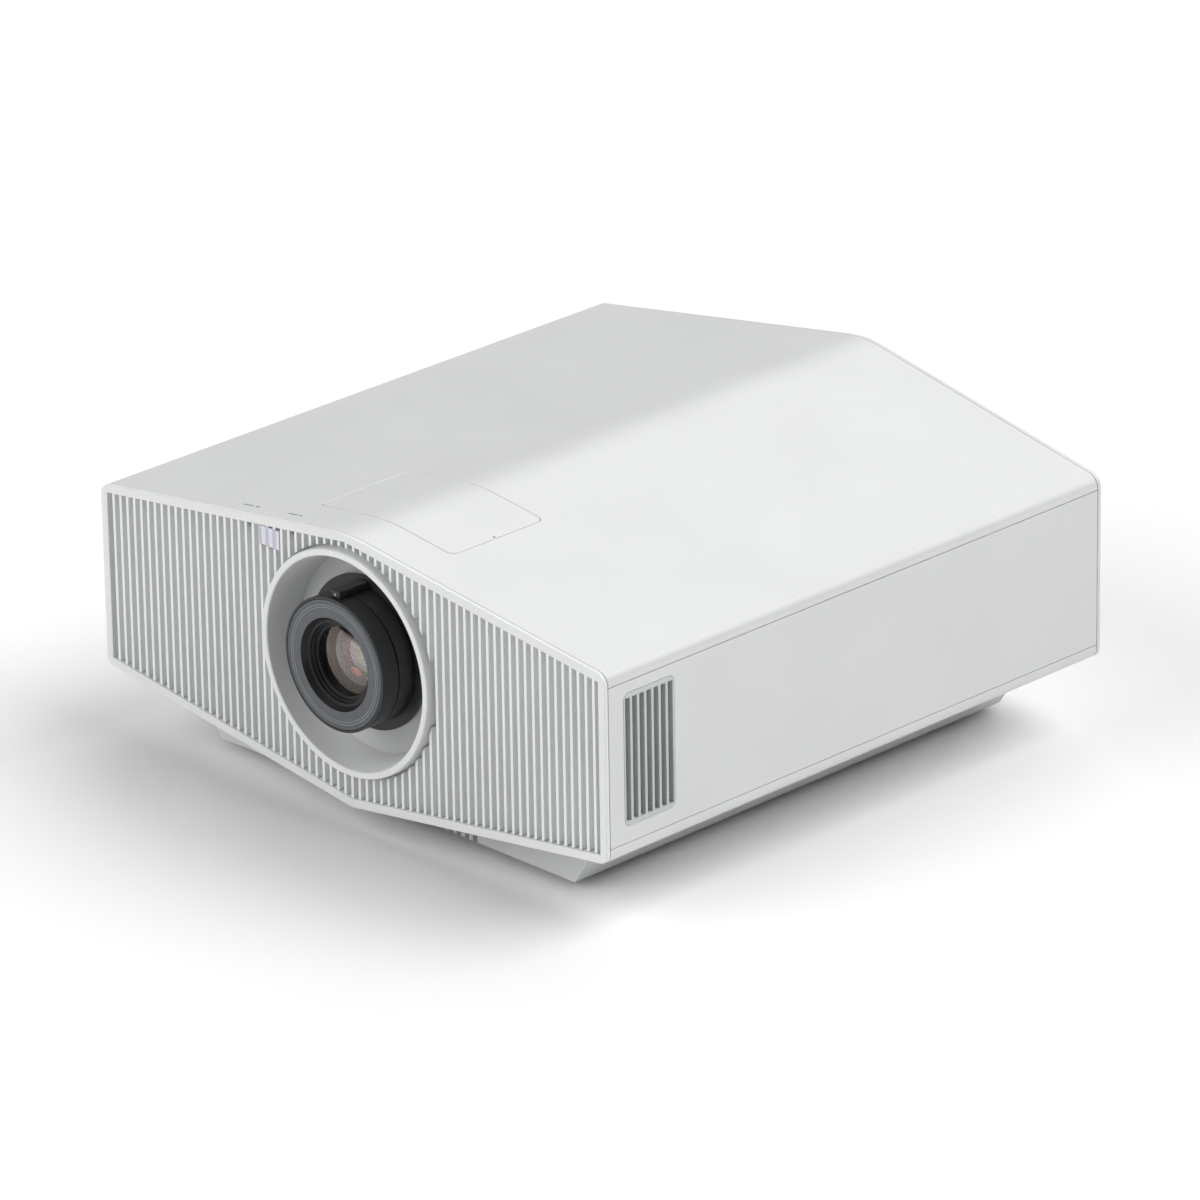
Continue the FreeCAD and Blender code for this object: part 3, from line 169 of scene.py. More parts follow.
def moulded(name, light, dark, roughness, grain_mm=0.5, grain_depth_mm=0.012, ior=1.52):
    """A moulded skin: hardly visible clouds of tone and a fine grain."""
    material, tree, principled, place = new_finish(name, IOR=ior)
    tone = two_tone(tree, grain(tree, place, 70, 3.0), dark, light)
    fine = grain(tree, place, grain_mm, 3.0)
    tree.links.new(tone, principled.inputs["Base Color"])
    tree.links.new(spread(tree, fine, roughness - 0.04, roughness + 0.05), principled.inputs["Roughness"])
    bumped(tree, principled, fine, grain_depth_mm)
    return material


# The eye gets a cool white shell and greys that step down to black. The front frame and the matter ribs
# are lighter copies of the shell's white: painted light, for the light that falls on the front.
white_abs = moulded("white_abs_satin", "DBDDDC", "D7D9D8", 0.3)
# Painted light: the frame's white is lighter than the shell's, to stand in for the light on the front.
frame_white_painted_lit = moulded("white_abs_frame_painted_lit", "E8EAE9", "E5E7E6", 0.3)
# Painted light: the ribs' white is lighter still, for the light that falls on their fronts.
rib_white_painted_lit = moulded("white_abs_ribs_painted_lit", "F0F2F1", "ECEEED", 0.4)
pale_shield_abs = moulded("pale_grey_abs", "D9DBDB", "D2D4D4", 0.5)
vent_abs = moulded("grey_abs_vent", "C8CCCC", "C0C4C4", 0.5)
tray_abs = moulded("grey_abs_tray", "8D9090", "868989", 0.55)
key_abs = moulded("white_abs_keys", "E2E3E3", "DCDDDD", 0.34)
dial_abs = moulded("dark_grey_abs_dials", "55585A", "4C4F51", 0.45)
black_abs = moulded("black_abs", "1C1D1F", "161719", 0.46, 0.4, 0.02)
foot_rubber = moulded("moulded_rubber", "1B1B1C", "151516", 0.8, 0.8, 0.05, 1.5)
mark_ink = moulded("pad_printed_ink", "8F9394", "858A8B", 0.5)
light_ink = moulded("pale_engraving_ink", "A9ACAF", "9DA0A3", 0.45)
print("moulded finishes made")

# %% [markdown]
# ## The lens's own blacks
# A lens barrel is turned aluminium, black anodised or painted with flocked matt paint inside so that no
# stray light gets out. The grips are satin, the name ring is a lighter satin grey, and turning leaves
# very fine circular lines. Those lines follow the distance from the lens axis, which a Wave texture in
# Rings mode draws about Y.

# %% Anodised and painted lens finishes


def turned_metal(name, light, dark, roughness, line_mm, line_depth_mm, centre_z):
    """Anodised or painted metal with fine circular lines about the lens axis."""
    material, tree, principled, place = new_finish(name, IOR=1.5)
    centred = add_node(tree, "ShaderNodeMapping", {"Location": (0, 0, -centre_z * MM)}, {"Vector": place})
    rings = add_node(tree, "ShaderNodeTexWave", {
        "wave_type": "RINGS", "rings_direction": "Y", "Scale": wave_scale(line_mm), "Distortion": 0.4,
        "Detail": 1.0}, {"Vector": centred.outputs["Vector"]}).outputs["Fac"]
    tree.links.new(two_tone(tree, grain(tree, place, 9), dark, light), principled.inputs["Base Color"])
    tree.links.new(spread(tree, rings, roughness - 0.05, roughness + 0.06), principled.inputs["Roughness"])
    bumped(tree, principled, rings, line_depth_mm, 0.5)
    return material


# The grips read as soft black, the face as blue-grey with a silky turn, the cone as nearly no light at all.
grip_black = turned_metal("anodised_black_grip", "232527", "1A1C1E", 0.40, 0.9, 0.004, LENS_Z)
face_grey = turned_metal("anodised_grey_face", "585B60", "515458", 0.42, 0.8, 0.004, LENS_Z)
cone_black = turned_metal("painted_matt_black", "141517", "0E0F10", 0.55, 0.8, 0.01, LENS_Z)
shade_black = turned_metal("satin_black_shade", "2B2D30", "222427", 0.45, 1.2, 0.004, LENS_Z)
print("lens finishes made")

# %% [markdown]
# ## Coated glass
# Each glass surface carries thin layers that cancel reflections. What is left over is coloured: magenta
# on the front element, amber on the ones behind. Cycles can work that out from a film's thickness in
# nanometres, so the colour comes from the coating and shifts with the angle as it does on the real lens.

# %% Coated glass, tinted window and light pipes


def coated_glass(name, tint, film_nanometres, film_ior):
    """Polished glass under one thin film."""
    material, tree, principled, place = new_finish(
        name, Roughness=0.0, IOR=1.62, Transmission_Weight=1.0, Thin_Film_Thickness=film_nanometres,
        Thin_Film_IOR=film_ior)
    haze = grain(tree, place, 14)
    tree.links.new(two_tone(tree, haze, tint, "FFFFFF", 0.0, 1.0), principled.inputs["Base Color"])
    return material


# The eye gets a magenta bloom on the front element and amber depths behind it.
front_coating = coated_glass("coated_front_glass", "EFE2F2", 142.0, 1.72)
inner_coating = coated_glass("coated_inner_glass", "D9A76A", 192.0, 2.15)
# The window is a pale lavender with painted bands of light and shade that stand in for the ribs seen
# through it, and the light pipes are grey dots.
GRILLE_PITCH = 6.64
window_tint, tree, principled, place = new_finish("tinted_acrylic", Roughness=0.18, IOR=1.49)
# Painted light and shade: bands at the grille's pitch stand in for the ribs seen through the window.
painted_rib_shading = add_node(tree, "ShaderNodeTexWave", {"bands_direction": "X", "Scale": wave_scale(GRILLE_PITCH)},
                     {"Vector": place}).outputs["Fac"]
tree.links.new(two_tone(tree, painted_rib_shading, "C2C2D2", "DFDFE9", 0.35, 0.65), principled.inputs["Base Color"])
pipe_clear, tree, principled, place = new_finish("light_pipe_acrylic", Roughness=0.25, IOR=1.49)
tree.links.new(two_tone(tree, grain(tree, place, 2), "5F6466", "7C8183"), principled.inputs["Base Color"])
print("clear finishes made")

# %% [markdown]
# ## Sheet steel, cast metal, brass and the rest
# The works are zinc-plated sheet with its cloudy spangle, a cast light-alloy block, extruded aluminium
# fins, turned brass inserts, a solder-masked board and a woven dust filter. Metals keep the default IOR:
# their colour and their roughness do the work.

# %% Metals, board and filter cloth


def metal(name, light, dark, roughness, cloud_mm, bump_mm, bump_size_mm):
    """Bare or plated metal: clouds of tone, and a fine bump that breaks up its reflections."""
    material, tree, principled, place = new_finish(name, Metallic=1.0)
    tone = two_tone(tree, grain(tree, place, cloud_mm, 4.0), dark, light)
    tree.links.new(tone, principled.inputs["Base Color"])
    fine = grain(tree, place, bump_size_mm, 3.0)
    tree.links.new(spread(tree, fine, roughness - 0.07, roughness + 0.08), principled.inputs["Roughness"])
    bumped(tree, principled, fine, bump_mm)
    return material


# Cloudy grey sheet, bright rods, a dull cast block, clean fins, warm brass.
zinc_steel = metal("zinc_plated_steel", "B9BDC0", "9DA2A6", 0.38, 12, 0.01, 1.5)
bright_steel = metal("ground_bright_steel", "C9CBCD", "B6B9BB", 0.22, 5, 0.002, 0.6)
cast_alloy = metal("cast_light_alloy", "8E9193", "7A7D80", 0.55, 8, 0.08, 1.6)
fin_aluminium = metal("extruded_aluminium", "C8CBCD", "B4B7BA", 0.3, 10, 0.004, 0.8)
turned_brass = metal("turned_brass", "D2AE62", "BE9848", 0.3, 4, 0.004, 0.5)

# A glossy green with darker tracks, and a loose grey weave that shows its threads.
board_green, tree, principled, place = new_finish("solder_masked_board", Roughness=0.35, IOR=1.5)
tracks = add_node(tree, "ShaderNodeTexVoronoi", {"Scale": 1 / (6 * MM), "distance": "MANHATTAN"},
                  {"Vector": place}).outputs["Distance"]
tree.links.new(two_tone(tree, tracks, "0F4A2C", "16623B", 0.25, 0.3), principled.inputs["Base Color"])
filter_cloth, tree, principled, place = new_finish("woven_filter_cloth", Roughness=0.9)
threads = [add_node(tree, "ShaderNodeTexWave", {"bands_direction": way, "Scale": wave_scale(1.2)},
                    {"Vector": place}).outputs["Fac"] for way in ("Y", "Z")]
weave = add_node(tree, "ShaderNodeMath", {"operation": "MAXIMUM"})
for socket, thread in zip(weave.inputs, threads):
    tree.links.new(thread, socket)
tree.links.new(two_tone(tree, weave.outputs["Value"], "26282A", "5A5D5F", 0.5, 0.95),
               principled.inputs["Base Color"])
bumped(tree, principled, weave.outputs["Value"], 0.2)
print("metal, board and cloth finishes made")

# %% [markdown]
# ## From mesh to finished piece
# Two helpers do the bookkeeping. `keep` turns a bmesh into an object that rides on its body and stands for
# its CAD node. `round_edges` bevels every hard edge, because no moulded or machined edge is truly sharp, and
# it is that thin highlight along an edge that makes a part look real. Weighted normals then keep the big
# flat faces flat.

# %% Helpers that finish a piece
HARD = math.radians(28)
SHARP = math.radians(50)
WELD_MM = 0.004
FLAT = math.radians(0.4)


def round_edges(bm, radius_mm, segments=2):
    """Bevels every edge whose faces meet at more than HARD."""
    hard = [edge for edge in bm.edges if len(edge.link_faces) == 2 and edge.calc_face_angle(0) > HARD]
    bmesh.ops.bevel(bm, geom=hard, offset=radius_mm * MM, offset_type="OFFSET", segments=segments, profile=0.5,
                    affect="EDGES", clamp_overlap=True, material=-1)


def keep(bm, name, finish, node, replaces=True):
    """Turns a bmesh into a finished piece that rides with the node's body."""
    mesh = bpy.data.meshes.new(name)
    bmesh.ops.recalc_face_normals(bm, faces=bm.faces)
    bm.to_mesh(mesh)
    bm.free()
    mesh.shade_smooth()
    mesh.set_sharp_from_angle(angle=SHARP)
    piece = bpy.data.objects.new(name, mesh)
    bpy.context.scene.collection.objects.link(piece)
    mesh.materials.append(finish)
    weighted = piece.modifiers.new("flat faces stay flat", "WEIGHTED_NORMAL")
    weighted.keep_sharp = True
    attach(piece, body_of[node])
    if replaces:
        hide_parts(node)
    return piece


def merged_copy(node):
    """The node's triangles joined into clean faces."""
    bm = bmesh.new()
    bm.from_mesh(nodes[node].data)
    bmesh.ops.remove_doubles(bm, verts=bm.verts, dist=WELD_MM * MM)
    bmesh.ops.dissolve_limit(bm, angle_limit=FLAT, verts=bm.verts, edges=bm.edges)
    return bm


def dress(node, finish, radius_mm, segments=2):
    """A finished copy of a CAD piece with its edges rounded."""
    bm = merged_copy(node)
    round_edges(bm, radius_mm, segments)
    piece = keep(bm, node + "_finished", finish, node)
    print(node, len(piece.data.polygons), "faces")
    return piece


def paint(piece, finish, wanted):
    """Gives a second finish to the faces whose middles, in millimetres, pass a test."""
    piece.data.materials.append(finish)
    painted = 0
    for face in piece.data.polygons:
        if wanted(face.center / MM):
            face.material_index = 1
            painted += 1
    print(piece.name, painted, "faces painted", finish.name)


# %% [markdown]
# ## The case
# Each case moulding keeps its CAD shape: what it lacks is the small radius that a mould leaves along
# every edge. The front frame gets the largest one, because its edge is the line the eye follows round the
# projector.

# %% Case mouldings
# The frame and the ribs take whites painted lighter, for the light on the front.
for node, finish, radius in (
        ("top_cover", white_abs, 0.5), ("dial_cover", white_abs, 0.35), ("bottom_cover", white_abs, 0.5),
        ("base_pan", white_abs, 0.7), ("right_side_panel", white_abs, 0.4),
        ("left_side_panel", white_abs, 0.4), ("rear_panel", white_abs, 0.5),
        ("front_bezel", frame_white_painted_lit, 0.8), ("front_grille", rib_white_painted_lit, 0.4),
        ("right_vent", vent_abs, 0.35), ("left_vent", vent_abs, 0.35), ("dial_tray", tray_abs, 0.5),
        ("lens_shield", pale_shield_abs, 0.3)):
    dress(node, finish, radius)

# %% [markdown]
# ## Turned parts
# Rings and barrels are bodies of revolution, so each is drawn as half a section and spun once round the
# lens axis. The outline is a list of (distance behind the front face, radius) in millimetres.

# %% A lathe


def spin_outline(bm, corners, edges, centre, steps):
    """Spins a half section once round the line along Y through the centre."""
    bmesh.ops.spin(bm, geom=corners + edges, cent=Vector(centre) * MM, axis=(0, 1, 0), angle=math.tau,
                   steps=steps, use_merge=True)
    bmesh.ops.recalc_face_normals(bm, faces=bm.faces)


def lathe(outline, centre, steps=128):
    """A ring or tube from a closed half section."""
    bm = bmesh.new()
    corners = [bm.verts.new((Vector(centre) + Vector((0, along, radius))) * MM) for along, radius in outline]
    edges = [bm.edges.new((corners[i - 1], corners[i])) for i in range(len(corners))]
    spin_outline(bm, corners, edges, centre, steps)
    return bm


RING_CENTRE = (0, FRONT, RING_Z)
LENS_CENTRE = (0, FRONT, LENS_Z)

# %% The white ring round the lens
RING_OUTER, RING_MOUTH, RING_THROAT, RING_FLANGE = 75.7, 71.1, 66.0, 83.8
ring = lathe([(-3.5, RING_MOUTH), (-3.5, RING_OUTER), (11.2, RING_OUTER), (11.2, RING_FLANGE),
              (13.2, RING_FLANGE), (13.2, RING_THROAT + 6), (22, RING_THROAT + 4), (22, RING_THROAT)],
             RING_CENTRE, 160)
round_edges(ring, 1.3, 4)
# The ring takes the frame's white, painted lighter for the light on the front.
keep(ring, "lens_ring_cone", frame_white_painted_lit, "lens_ring")
print("white ring turned")

# %% [markdown]
# ## The front of the lens
# The name ring steps inwards: a flat satin face, a cone down to the glass, then black steps that trap
# stray light. The focus ring wraps round it, with a fine groove near its front edge, and the zoom ring
# sits behind a narrow gap.

# %% Name ring, focus ring and barrel
FACE_INNER = 31
name_ring = lathe([(-11.5, FACE_INNER), (-11.5, 40.3), (-11.3, 40.5), (-11.3, 41), (-11.5, 41.2),
                   (-11.5, 42.7), (-8.5, 42.7), (-8.5, 34), (6, 34), (6, 25.2), (-2.5, 25.2), (-2.5, 23),
                   (-3.5, 23), (-3.5, 25), (-5.5, 25.4), (-5.5, 26.2), (-7.5, 26.6), (-7.5, 28.6)],
                  LENS_CENTRE)
round_edges(name_ring, 0.25, 2)
name_ring = keep(name_ring, "name_ring_face", face_grey, "name_ring")
paint(name_ring, cone_black, lambda middle: math.hypot(middle.x, middle.z - LENS_Z) < FACE_INNER - 0.4)
focus = lathe([(-11.5, 43), (-11.5, 44.7), (-9.6, 44.7), (-9.3, 44.45), (-9.0, 44.7), (2, 44.7), (2, 40.05),
               (-8.2, 40.05), (-8.2, 43)], LENS_CENTRE)
round_edges(focus, 0.45, 3)
keep(focus, "focus_ring_grip", grip_black, "focus_ring")
for node, finish, radius in (("zoom_ring", grip_black, 0.5), ("lens_flange", shade_black, 0.4),
                             ("lens_barrel", grip_black, 0.3)):
    dress(node, finish, radius, 3)

# %% [markdown]
# ## Glass
# An element is two spherical faces and a ground edge. The arc of each face comes from its sphere's
# radius, so the curvature is a real one. The front element bulges through its seat, and two smaller ones
# stand deeper in the black tube, where they catch light of their own colour.

# %% Lens elements


ARC_STEPS = 10
ELEMENT_STEPS = 96
TIP_WELD_MM = 0.01


def arc(rim, apex, radius, bulges_forward=True):
    """Points of a spherical face from its rim to the axis, as (along, distance from the axis)."""
    points = []
    for step in range(ARC_STEPS + 1):
        across = rim * (1 - step / ARC_STEPS)
        sag = radius - math.sqrt(radius ** 2 - across ** 2)
        points.append((apex + sag if bulges_forward else apex - sag, across))
    return points


def element(front_points, back_points):
    """A glass element: axis to rim along the front face, then rim to axis along the back one."""
    bm = bmesh.new()
    corners = [bm.verts.new((Vector(LENS_CENTRE) + Vector((0, along, across))) * MM)
               for along, across in front_points[::-1] + back_points]
    edges = [bm.edges.new(pair) for pair in zip(corners, corners[1:])]
    spin_outline(bm, corners, edges, LENS_CENTRE, ELEMENT_STEPS)
    bmesh.ops.remove_doubles(bm, verts=bm.verts, dist=TIP_WELD_MM * MM)
    return bm


# Each arc is its rim's radius, where its middle stands, and the sphere's radius.
front = element(arc(25.1, -6, 77.3), arc(25.1, 3.5, 60))
keep(front, "front_element", front_coating, "front_glass")
inner = element(arc(21, 9, 34), arc(21, 19.5, 90, bulges_forward=False))
keep(inner, "second_element", inner_coating, "front_glass", replaces=False)
deep = element(arc(16, 26, 22), arc(16, 34, 60, bulges_forward=False))
keep(deep, "third_element", inner_coating, "front_glass", replaces=False)

# %% Black steps inside the lens
TUBE_OUTER, TUBE_END = 33.8, 64
STEP_LENGTH, FIRST_BORE, BORE_DROP = 4, 23.5, 1.6
steps = [(6, TUBE_OUTER), (6, 24.9)]
for number in range(6):
    start, bore = 8 + 5 * number, FIRST_BORE - BORE_DROP * number
    steps += [(start, bore), (start + STEP_LENGTH, bore), (start + STEP_LENGTH, bore - 1)]
steps += [(60, 12), (60, 0.4), (TUBE_END, 0.4), (TUBE_END, TUBE_OUTER)]
baffles = lathe(steps, LENS_CENTRE, 96)
keep(baffles, "inner_baffles", cone_black, "lens_barrel", replaces=False)
print("glass and baffles made")

# %% [markdown]
# ## Small marks on the lens
# Two hair-thin pale lines are engraved in the name ring's face and filled with paint, and a painted dot
# on the zoom lever shows which way the ring is turned. They are separate thin pieces, so that their
# colour has an edge.

# %% Engraved lines and the lever's dot


def disc(name, finish, node, centre, towards, radius_mm, height_mm, sides=32, turn=0.0):
    """A low prism whose face looks along `towards`. Three sides make an arrow head."""
    bm = bmesh.new()
    bmesh.ops.create_cone(bm, cap_ends=True, segments=sides, radius1=radius_mm * MM, radius2=radius_mm * MM,
                          depth=height_mm * MM)
    bmesh.ops.rotate(bm, verts=bm.verts, matrix=Matrix.Rotation(turn, 3, "Z"))
    bmesh.ops.rotate(bm, verts=bm.verts, matrix=Vector(towards).to_track_quat("Z", "Y").to_matrix())
    bmesh.ops.translate(bm, verts=bm.verts, vec=Vector(centre) * MM)
    return keep(bm, name, finish, node, replaces=False)


for number, radius in enumerate((39.3, 37.6)):
    line = lathe([(-11.53, radius), (-11.53, radius + 0.22), (-11.4, radius + 0.22), (-11.4, radius)],
                 LENS_CENTRE)
    keep(line, f"face_line_{number + 1}", light_ink, "name_ring", replaces=False)
lever_low, lever_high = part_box("zoom_ring")
disc("lever_dot", light_ink, "zoom_ring", (0, lever_low.y / MM, lever_high.z / MM - 2.6), (0, -1, 0), 0.9, 0.2)
print("two engraved lines and a dot made")

# %% [markdown]
# ## Window and status lights
# The receiver behind the front frame looks through a small window of tinted acrylic. The grille's ribs that
# would show faintly through it are painted on it as bands of light and shade. Two acrylic light pipes bring
# the status lights to the front. Their printed marks on the roof are plain bars here.

# %% Window, light pipes and printed marks
for node, finish, radius in (("remote_window", window_tint, 0.2), ("status_lights", pipe_clear, 0.15)):
    dress(node, finish, radius)
RIDGE, SHOULDER = 205.0, 175.5
SLOPE = (RIDGE - SHOULDER) / HALF_WIDTH
INK = 0.12


def roof_mark(name, across, behind, length, width):
    """A thin printed bar that lies on the sloping roof."""
    bm = bmesh.new()
    bmesh.ops.create_cube(bm, size=1.0, matrix=Matrix.Diagonal((length * MM, width * MM, INK * MM, 1)))
    tilt = math.atan(SLOPE) * (1 if across > 0 else -1)
    bmesh.ops.rotate(bm, verts=bm.verts, matrix=Matrix.Rotation(tilt, 3, "Y"))
    middle = Vector((across, FRONT + behind, RIDGE - SLOPE * abs(across)))
    bmesh.ops.translate(bm, verts=bm.verts, vec=middle * MM)
    keep(bm, name, mark_ink, "top_cover", replaces=False)


# Place across and length of each bar. The row lies just behind the front edge.
ROOF_BARS = ((-102.5, 9.0), (-94.0, 4.0), (-61.0, 8.0), (-54.0, 3.0))
BAR_ROW, BAR_WIDTH, DOT_WIDTH = 13.0, 1.5, 1.8
for number, (across, length) in enumerate(ROOF_BARS):
    roof_mark(f"roof_mark_{number + 1}", across, BAR_ROW, length, BAR_WIDTH)
roof_mark("hatch_mark", 59.0, 73.0, DOT_WIDTH, DOT_WIDTH)
print("roof marks made")

# %% [markdown]
# ## The lens shift
# Two thumb wheels under the lid raise the lens and move it sideways. Their rims are ribbed for a
# fingertip. The plates are zinc-plated steel, the rods ground bright steel, and both carriages black
# glass-filled plastic.

# %% Shift works and thumb wheels
for node, finish, radius in (("shift_base", zinc_steel, 0.2), ("upright_rods", bright_steel, 0.2),
                             ("level_rods", bright_steel, 0.2), ("middle_carriage", black_abs, 0.3),
                             ("lens_carriage", black_abs, 0.3), ("rise_dial", dial_abs, 0.5),
                             ("side_dial", dial_abs, 0.5)):
    dress(node, finish, radius)
RIBS, RIB_WIDTH, RIB_DEPTH, RIB_HEIGHT = 36, 1.1, 0.8, 7
RIM_MIDDLE = 4.5


def rim_ribs(node):
    """Small upright ribs round a thumb wheel's rim."""
    low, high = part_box(node)
    centre = (low + high) / 2
    radius = (high.x - low.x) / 2
    rim_middle = Matrix.Translation((centre.x, centre.y, high.z - RIM_MIDDLE * MM))
    rib_size = Matrix.Diagonal((RIB_DEPTH * MM, RIB_WIDTH * MM, RIB_HEIGHT * MM, 1))
    bm = bmesh.new()
    for number in range(RIBS):
        turned = rim_middle @ Matrix.Rotation(math.tau * number / RIBS, 4, "Z")
        placed = turned @ Matrix.Translation((radius, 0, 0)) @ rib_size
        bmesh.ops.create_cube(bm, size=1.0, matrix=placed)
    round_edges(bm, 0.2, 1)
    keep(bm, node + "_ribs", dial_abs, node, replaces=False)


for node in ("rise_dial", "side_dial"):
    rim_ribs(node)
print("thumb wheels ribbed")

# %% [markdown]
# ## The works
# Behind the grille stand the sheet-metal deck, two axial fans, the light engine in its cast housing, the
# lamp module with its extruded heat sink and the power supply. They are only seen through slots and with
# a cover off, so their own edges and metals are enough.

# %% Deck, fans and light path
for node, finish, radius in (
        ("chassis_deck", zinc_steel, 0.2), ("intake_fan_frame", black_abs, 0.5),
        ("exhaust_fan_frame", black_abs, 0.5), ("intake_fan_rotor", black_abs, 0.25),
        ("exhaust_fan_rotor", black_abs, 0.25),
        ("air_filter", filter_cloth, 0.3), ("light_engine", cast_alloy, 0.8),
        ("light_source", zinc_steel, 0.4), ("heat_sink", fin_aluminium, 0.2),
        ("power_supply", zinc_steel, 0.3)):
    dress(node, finish, radius)

# %% [markdown]
# ## The connector bay
# The sockets are folded and tinned steel shells soldered to one board that stands behind a black plate.
# The chips on the board are black epoxy, so faces that stand off the board get a second material.

# %% Sockets, board and plate
for node, finish, radius in (
        ("connector_plate", black_abs, 0.3), ("video_sockets", bright_steel, 0.12),
        ("data_sockets", bright_steel, 0.12), ("network_socket", bright_steel, 0.15),
        ("jack_sockets", black_abs, 0.2), ("power_inlet", black_abs, 0.4)):
    dress(node, finish, radius)
BOARD_THICKNESS, CLEAR = 1.6, 0.15
board_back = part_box("main_board")[1].y / MM
board = dress("main_board", board_green, 0.1)
paint(board, black_abs, lambda middle: middle.y < board_back - BOARD_THICKNESS - CLEAR)
key_board_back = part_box("key_board")[1].x / MM
board = dress("key_board", board_green, 0.1)
paint(board, black_abs, lambda middle: middle.x < key_board_back - BOARD_THICKNESS - CLEAR)

# %% [markdown]
# The bay's walls are moulded with the plate, and a thin sleeve closes the wedge between them and the
# shallow V of the rear panel. Four bars are cut along that V by two planes.

# %% Sleeve between the bay and the rear panel
CORNER_Y = 217.75
VERTEX_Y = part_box("rear_panel")[1].y / MM
SLEEVE, PANEL = 1.6, 3.2
BAY_LEFT, BAY_RIGHT, BAY_LOW, BAY_HIGH = -190, 60, 68, 128
left, right = BAY_LEFT - SLEEVE, BAY_RIGHT + SLEEVE
bottom, top = BAY_LOW - SLEEVE, BAY_HIGH + SLEEVE
start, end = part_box("connector_plate")[1].y / MM - 1.0, VERTEX_Y + 5
bars = ((left, right, bottom, bottom + SLEEVE), (left, right, top - SLEEVE, top),
        (left, left + SLEEVE, bottom, top), (right - SLEEVE, right, bottom, top))
for number, (x0, x1, z0, z1) in enumerate(bars):
    bm = bmesh.new()
    middle = Matrix.Translation(Vector(((x0 + x1) / 2, (start + end) / 2, (z0 + z1) / 2)) * MM)
    bmesh.ops.create_cube(bm, size=1.0, matrix=middle @ Matrix.Diagonal(
        ((x1 - x0) * MM, (end - start) * MM, (z1 - z0) * MM, 1)))
    for side in (-1, 1):
        across = Vector((side * (VERTEX_Y - CORNER_Y) / HALF_WIDTH, 1, 0)).normalized()
        cut = bmesh.ops.bisect_plane(bm, geom=bm.verts[:] + bm.edges[:] + bm.faces[:], clear_outer=True,
                                     plane_co=Vector((0, VERTEX_Y - PANEL, 0)) * MM, plane_no=across)
        rim = [part for part in cut["geom_cut"] if isinstance(part, bmesh.types.BMEdge)]
        bmesh.ops.holes_fill(bm, edges=rim)
    keep(bm, f"bay_sleeve_{number + 1}", black_abs, "connector_plate", replaces=False)
print("sleeve made from y", start, "mm")

# %% [markdown]
# ## Keys
# Seven round keys stand in a sunk grey plate on the left side. Each cap is softly rounded and carries a
# small printed shape: arrow heads for the four directions, a large dot for power, a small one for enter
# and a square for the menu.

# %% Keys and their printed shapes
dress("key_plate", tray_abs, 0.3)
LEFT = (-1, 0, 0)
QUARTER = math.pi / 2
for key, sides, size, turn in (("power_key", 32, 1.6, 0.0), ("up_key", 3, 2.0, 0), ("right_key", 3, 2.0, 1),
                               ("down_key", 3, 2.0, 2), ("left_key", 3, 2.0, 3), ("enter_key", 32, 1.2, 0.0),
                               ("menu_key", 4, 1.6, 0.5)):
    dress(key, key_abs, 0.9, 4)
    low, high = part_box(key)
    centre = ((low.x / MM) - 0.02, (low.y + high.y) / 2 / MM, (low.z + high.z) / 2 / MM)
    disc(key.replace("key", "shape"), mark_ink, key, centre, LEFT, size, INK, sides, QUARTER * turn)
print("keys finished")

# %% [markdown]
# ## Feet, screws and ceiling inserts
# The rubber feet are moulded with a rounded rim. The case screws are zinc plated, and brass inserts take
# the ceiling bracket.

# %% Feet, screws and inserts
for node, finish, radius in (
        ("front_left_foot", foot_rubber, 0.9), ("front_right_foot", foot_rubber, 0.9),
        ("rear_feet", foot_rubber, 0.9), ("case_screws", zinc_steel, 0.2),
        ("mount_inserts", turned_brass, 0.2)):
    dress(node, finish, radius, 3)

# %% [markdown]
# ## Camera, floor and light
# The projector is seen from its right front corner through a long lens, a little from above. Product
# shots like this use a white sweep and three big soft lights: a key from behind on the right, which
# leaves the inside of the white ring in shade, a fill from the front left for the grille, and a softbox
# behind that the right half of the roof mirrors, so that the two halves of the roof part at the ridge.

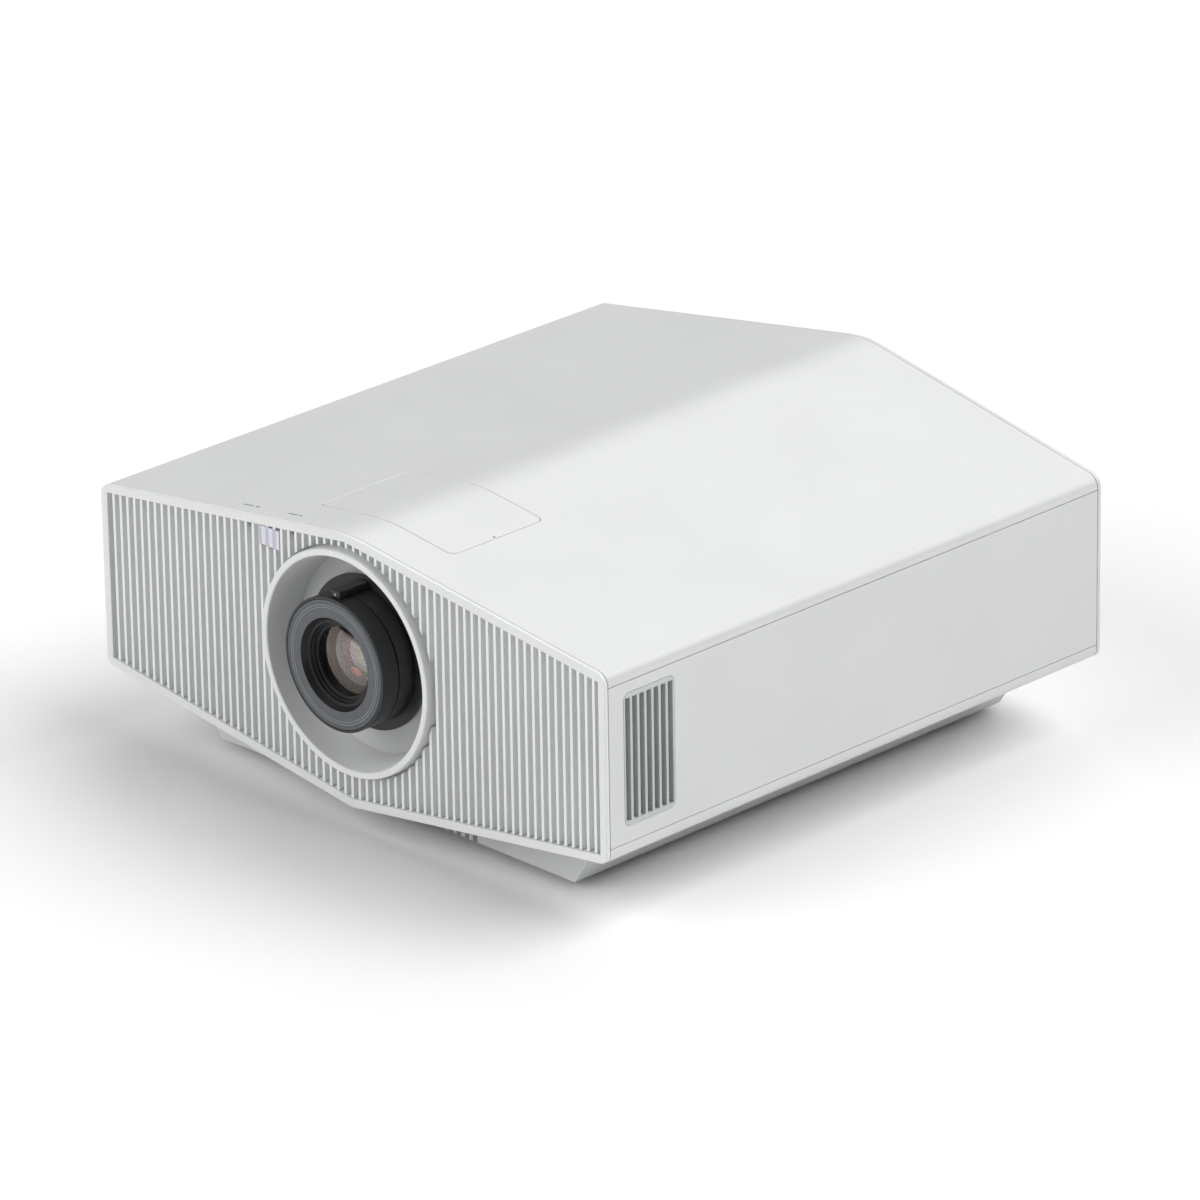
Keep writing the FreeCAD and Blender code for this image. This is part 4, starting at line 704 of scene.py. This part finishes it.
# %% Camera
AZIMUTH, ELEVATION, ROLL = math.radians(45.69), math.radians(22.76), math.radians(-0.92)
TARGET = Vector((21.7, FRONT + 200.9, 105)) * MM
DISTANCE, FOCAL_MM, SENSOR_MM = 5.568, 260.58, 36.0
away = Vector((math.sin(AZIMUTH) * math.cos(ELEVATION), -math.cos(AZIMUTH) * math.cos(ELEVATION),
               math.sin(ELEVATION)))
right = (-away).cross(Vector((0, 0, 1))).normalized()
up = right.cross(-away)
turned_right = math.cos(ROLL) * right + math.sin(ROLL) * up
turned_up = -math.sin(ROLL) * right + math.cos(ROLL) * up
camera = bpy.data.objects.new("camera", bpy.data.cameras.new("camera"))
bpy.context.scene.collection.objects.link(camera)
camera.data.lens = FOCAL_MM
camera.data.sensor_width = SENSOR_MM
camera.data.clip_end = 50
placing = Matrix((turned_right, turned_up, away)).transposed().to_4x4()
placing.translation = TARGET + away * DISTANCE
camera.matrix_world = placing
bpy.context.scene.camera = camera

# %% Floor
# The floor lies a hair under the feet, so that the two don't share a plane.
FLOOR_SIZE, FLOOR_DROP = 30.0, 0.0002
floor_finish, tree, principled, place = new_finish("white_sweep", Roughness=0.9)
tree.links.new(two_tone(tree, grain(tree, place, 900), "F7F7F7", "F9F9F9"), principled.inputs["Base Color"])
bm = bmesh.new()
bmesh.ops.create_grid(bm, x_segments=2, y_segments=2, size=FLOOR_SIZE / 2)
mesh = bpy.data.meshes.new("floor")
bm.to_mesh(mesh)
bm.free()
mesh.materials.append(floor_finish)
floor = bpy.data.objects.new("floor", mesh)
floor.location.z = -FLOOR_DROP
bpy.context.scene.collection.objects.link(floor)

# %% Lights
world = bpy.data.worlds.new("studio")
bpy.context.scene.world = world
world.use_nodes = True
world.node_tree.nodes["Background"].inputs["Color"].default_value = (1.0, 1.0, 1.0, 1.0)
world.node_tree.nodes["Background"].inputs["Strength"].default_value = 0.06


def soft_light(name, towards, strength, degrees_wide):
    """A very distant soft light. towards is the direction from the object to the light."""
    data = bpy.data.lights.new(name, "SUN")
    data.energy = strength
    data.angle = math.radians(degrees_wide)
    light = bpy.data.objects.new(name, data)
    light.rotation_euler = Vector(towards).to_track_quat("Z", "Y").to_euler()
    bpy.context.scene.collection.objects.link(light)


soft_light("key_from_right", (0.52, 0.36, 0.78), 2.15, 50)
soft_light("fill_from_front_left", (-0.36, -0.76, 0.54), 1.65, 45)
soft_light("softbox_behind", (-0.2, 0.7, 0.68), 1.15, 60)
bpy.context.scene.view_settings.view_transform = "Standard"
print("camera, floor and lights set")
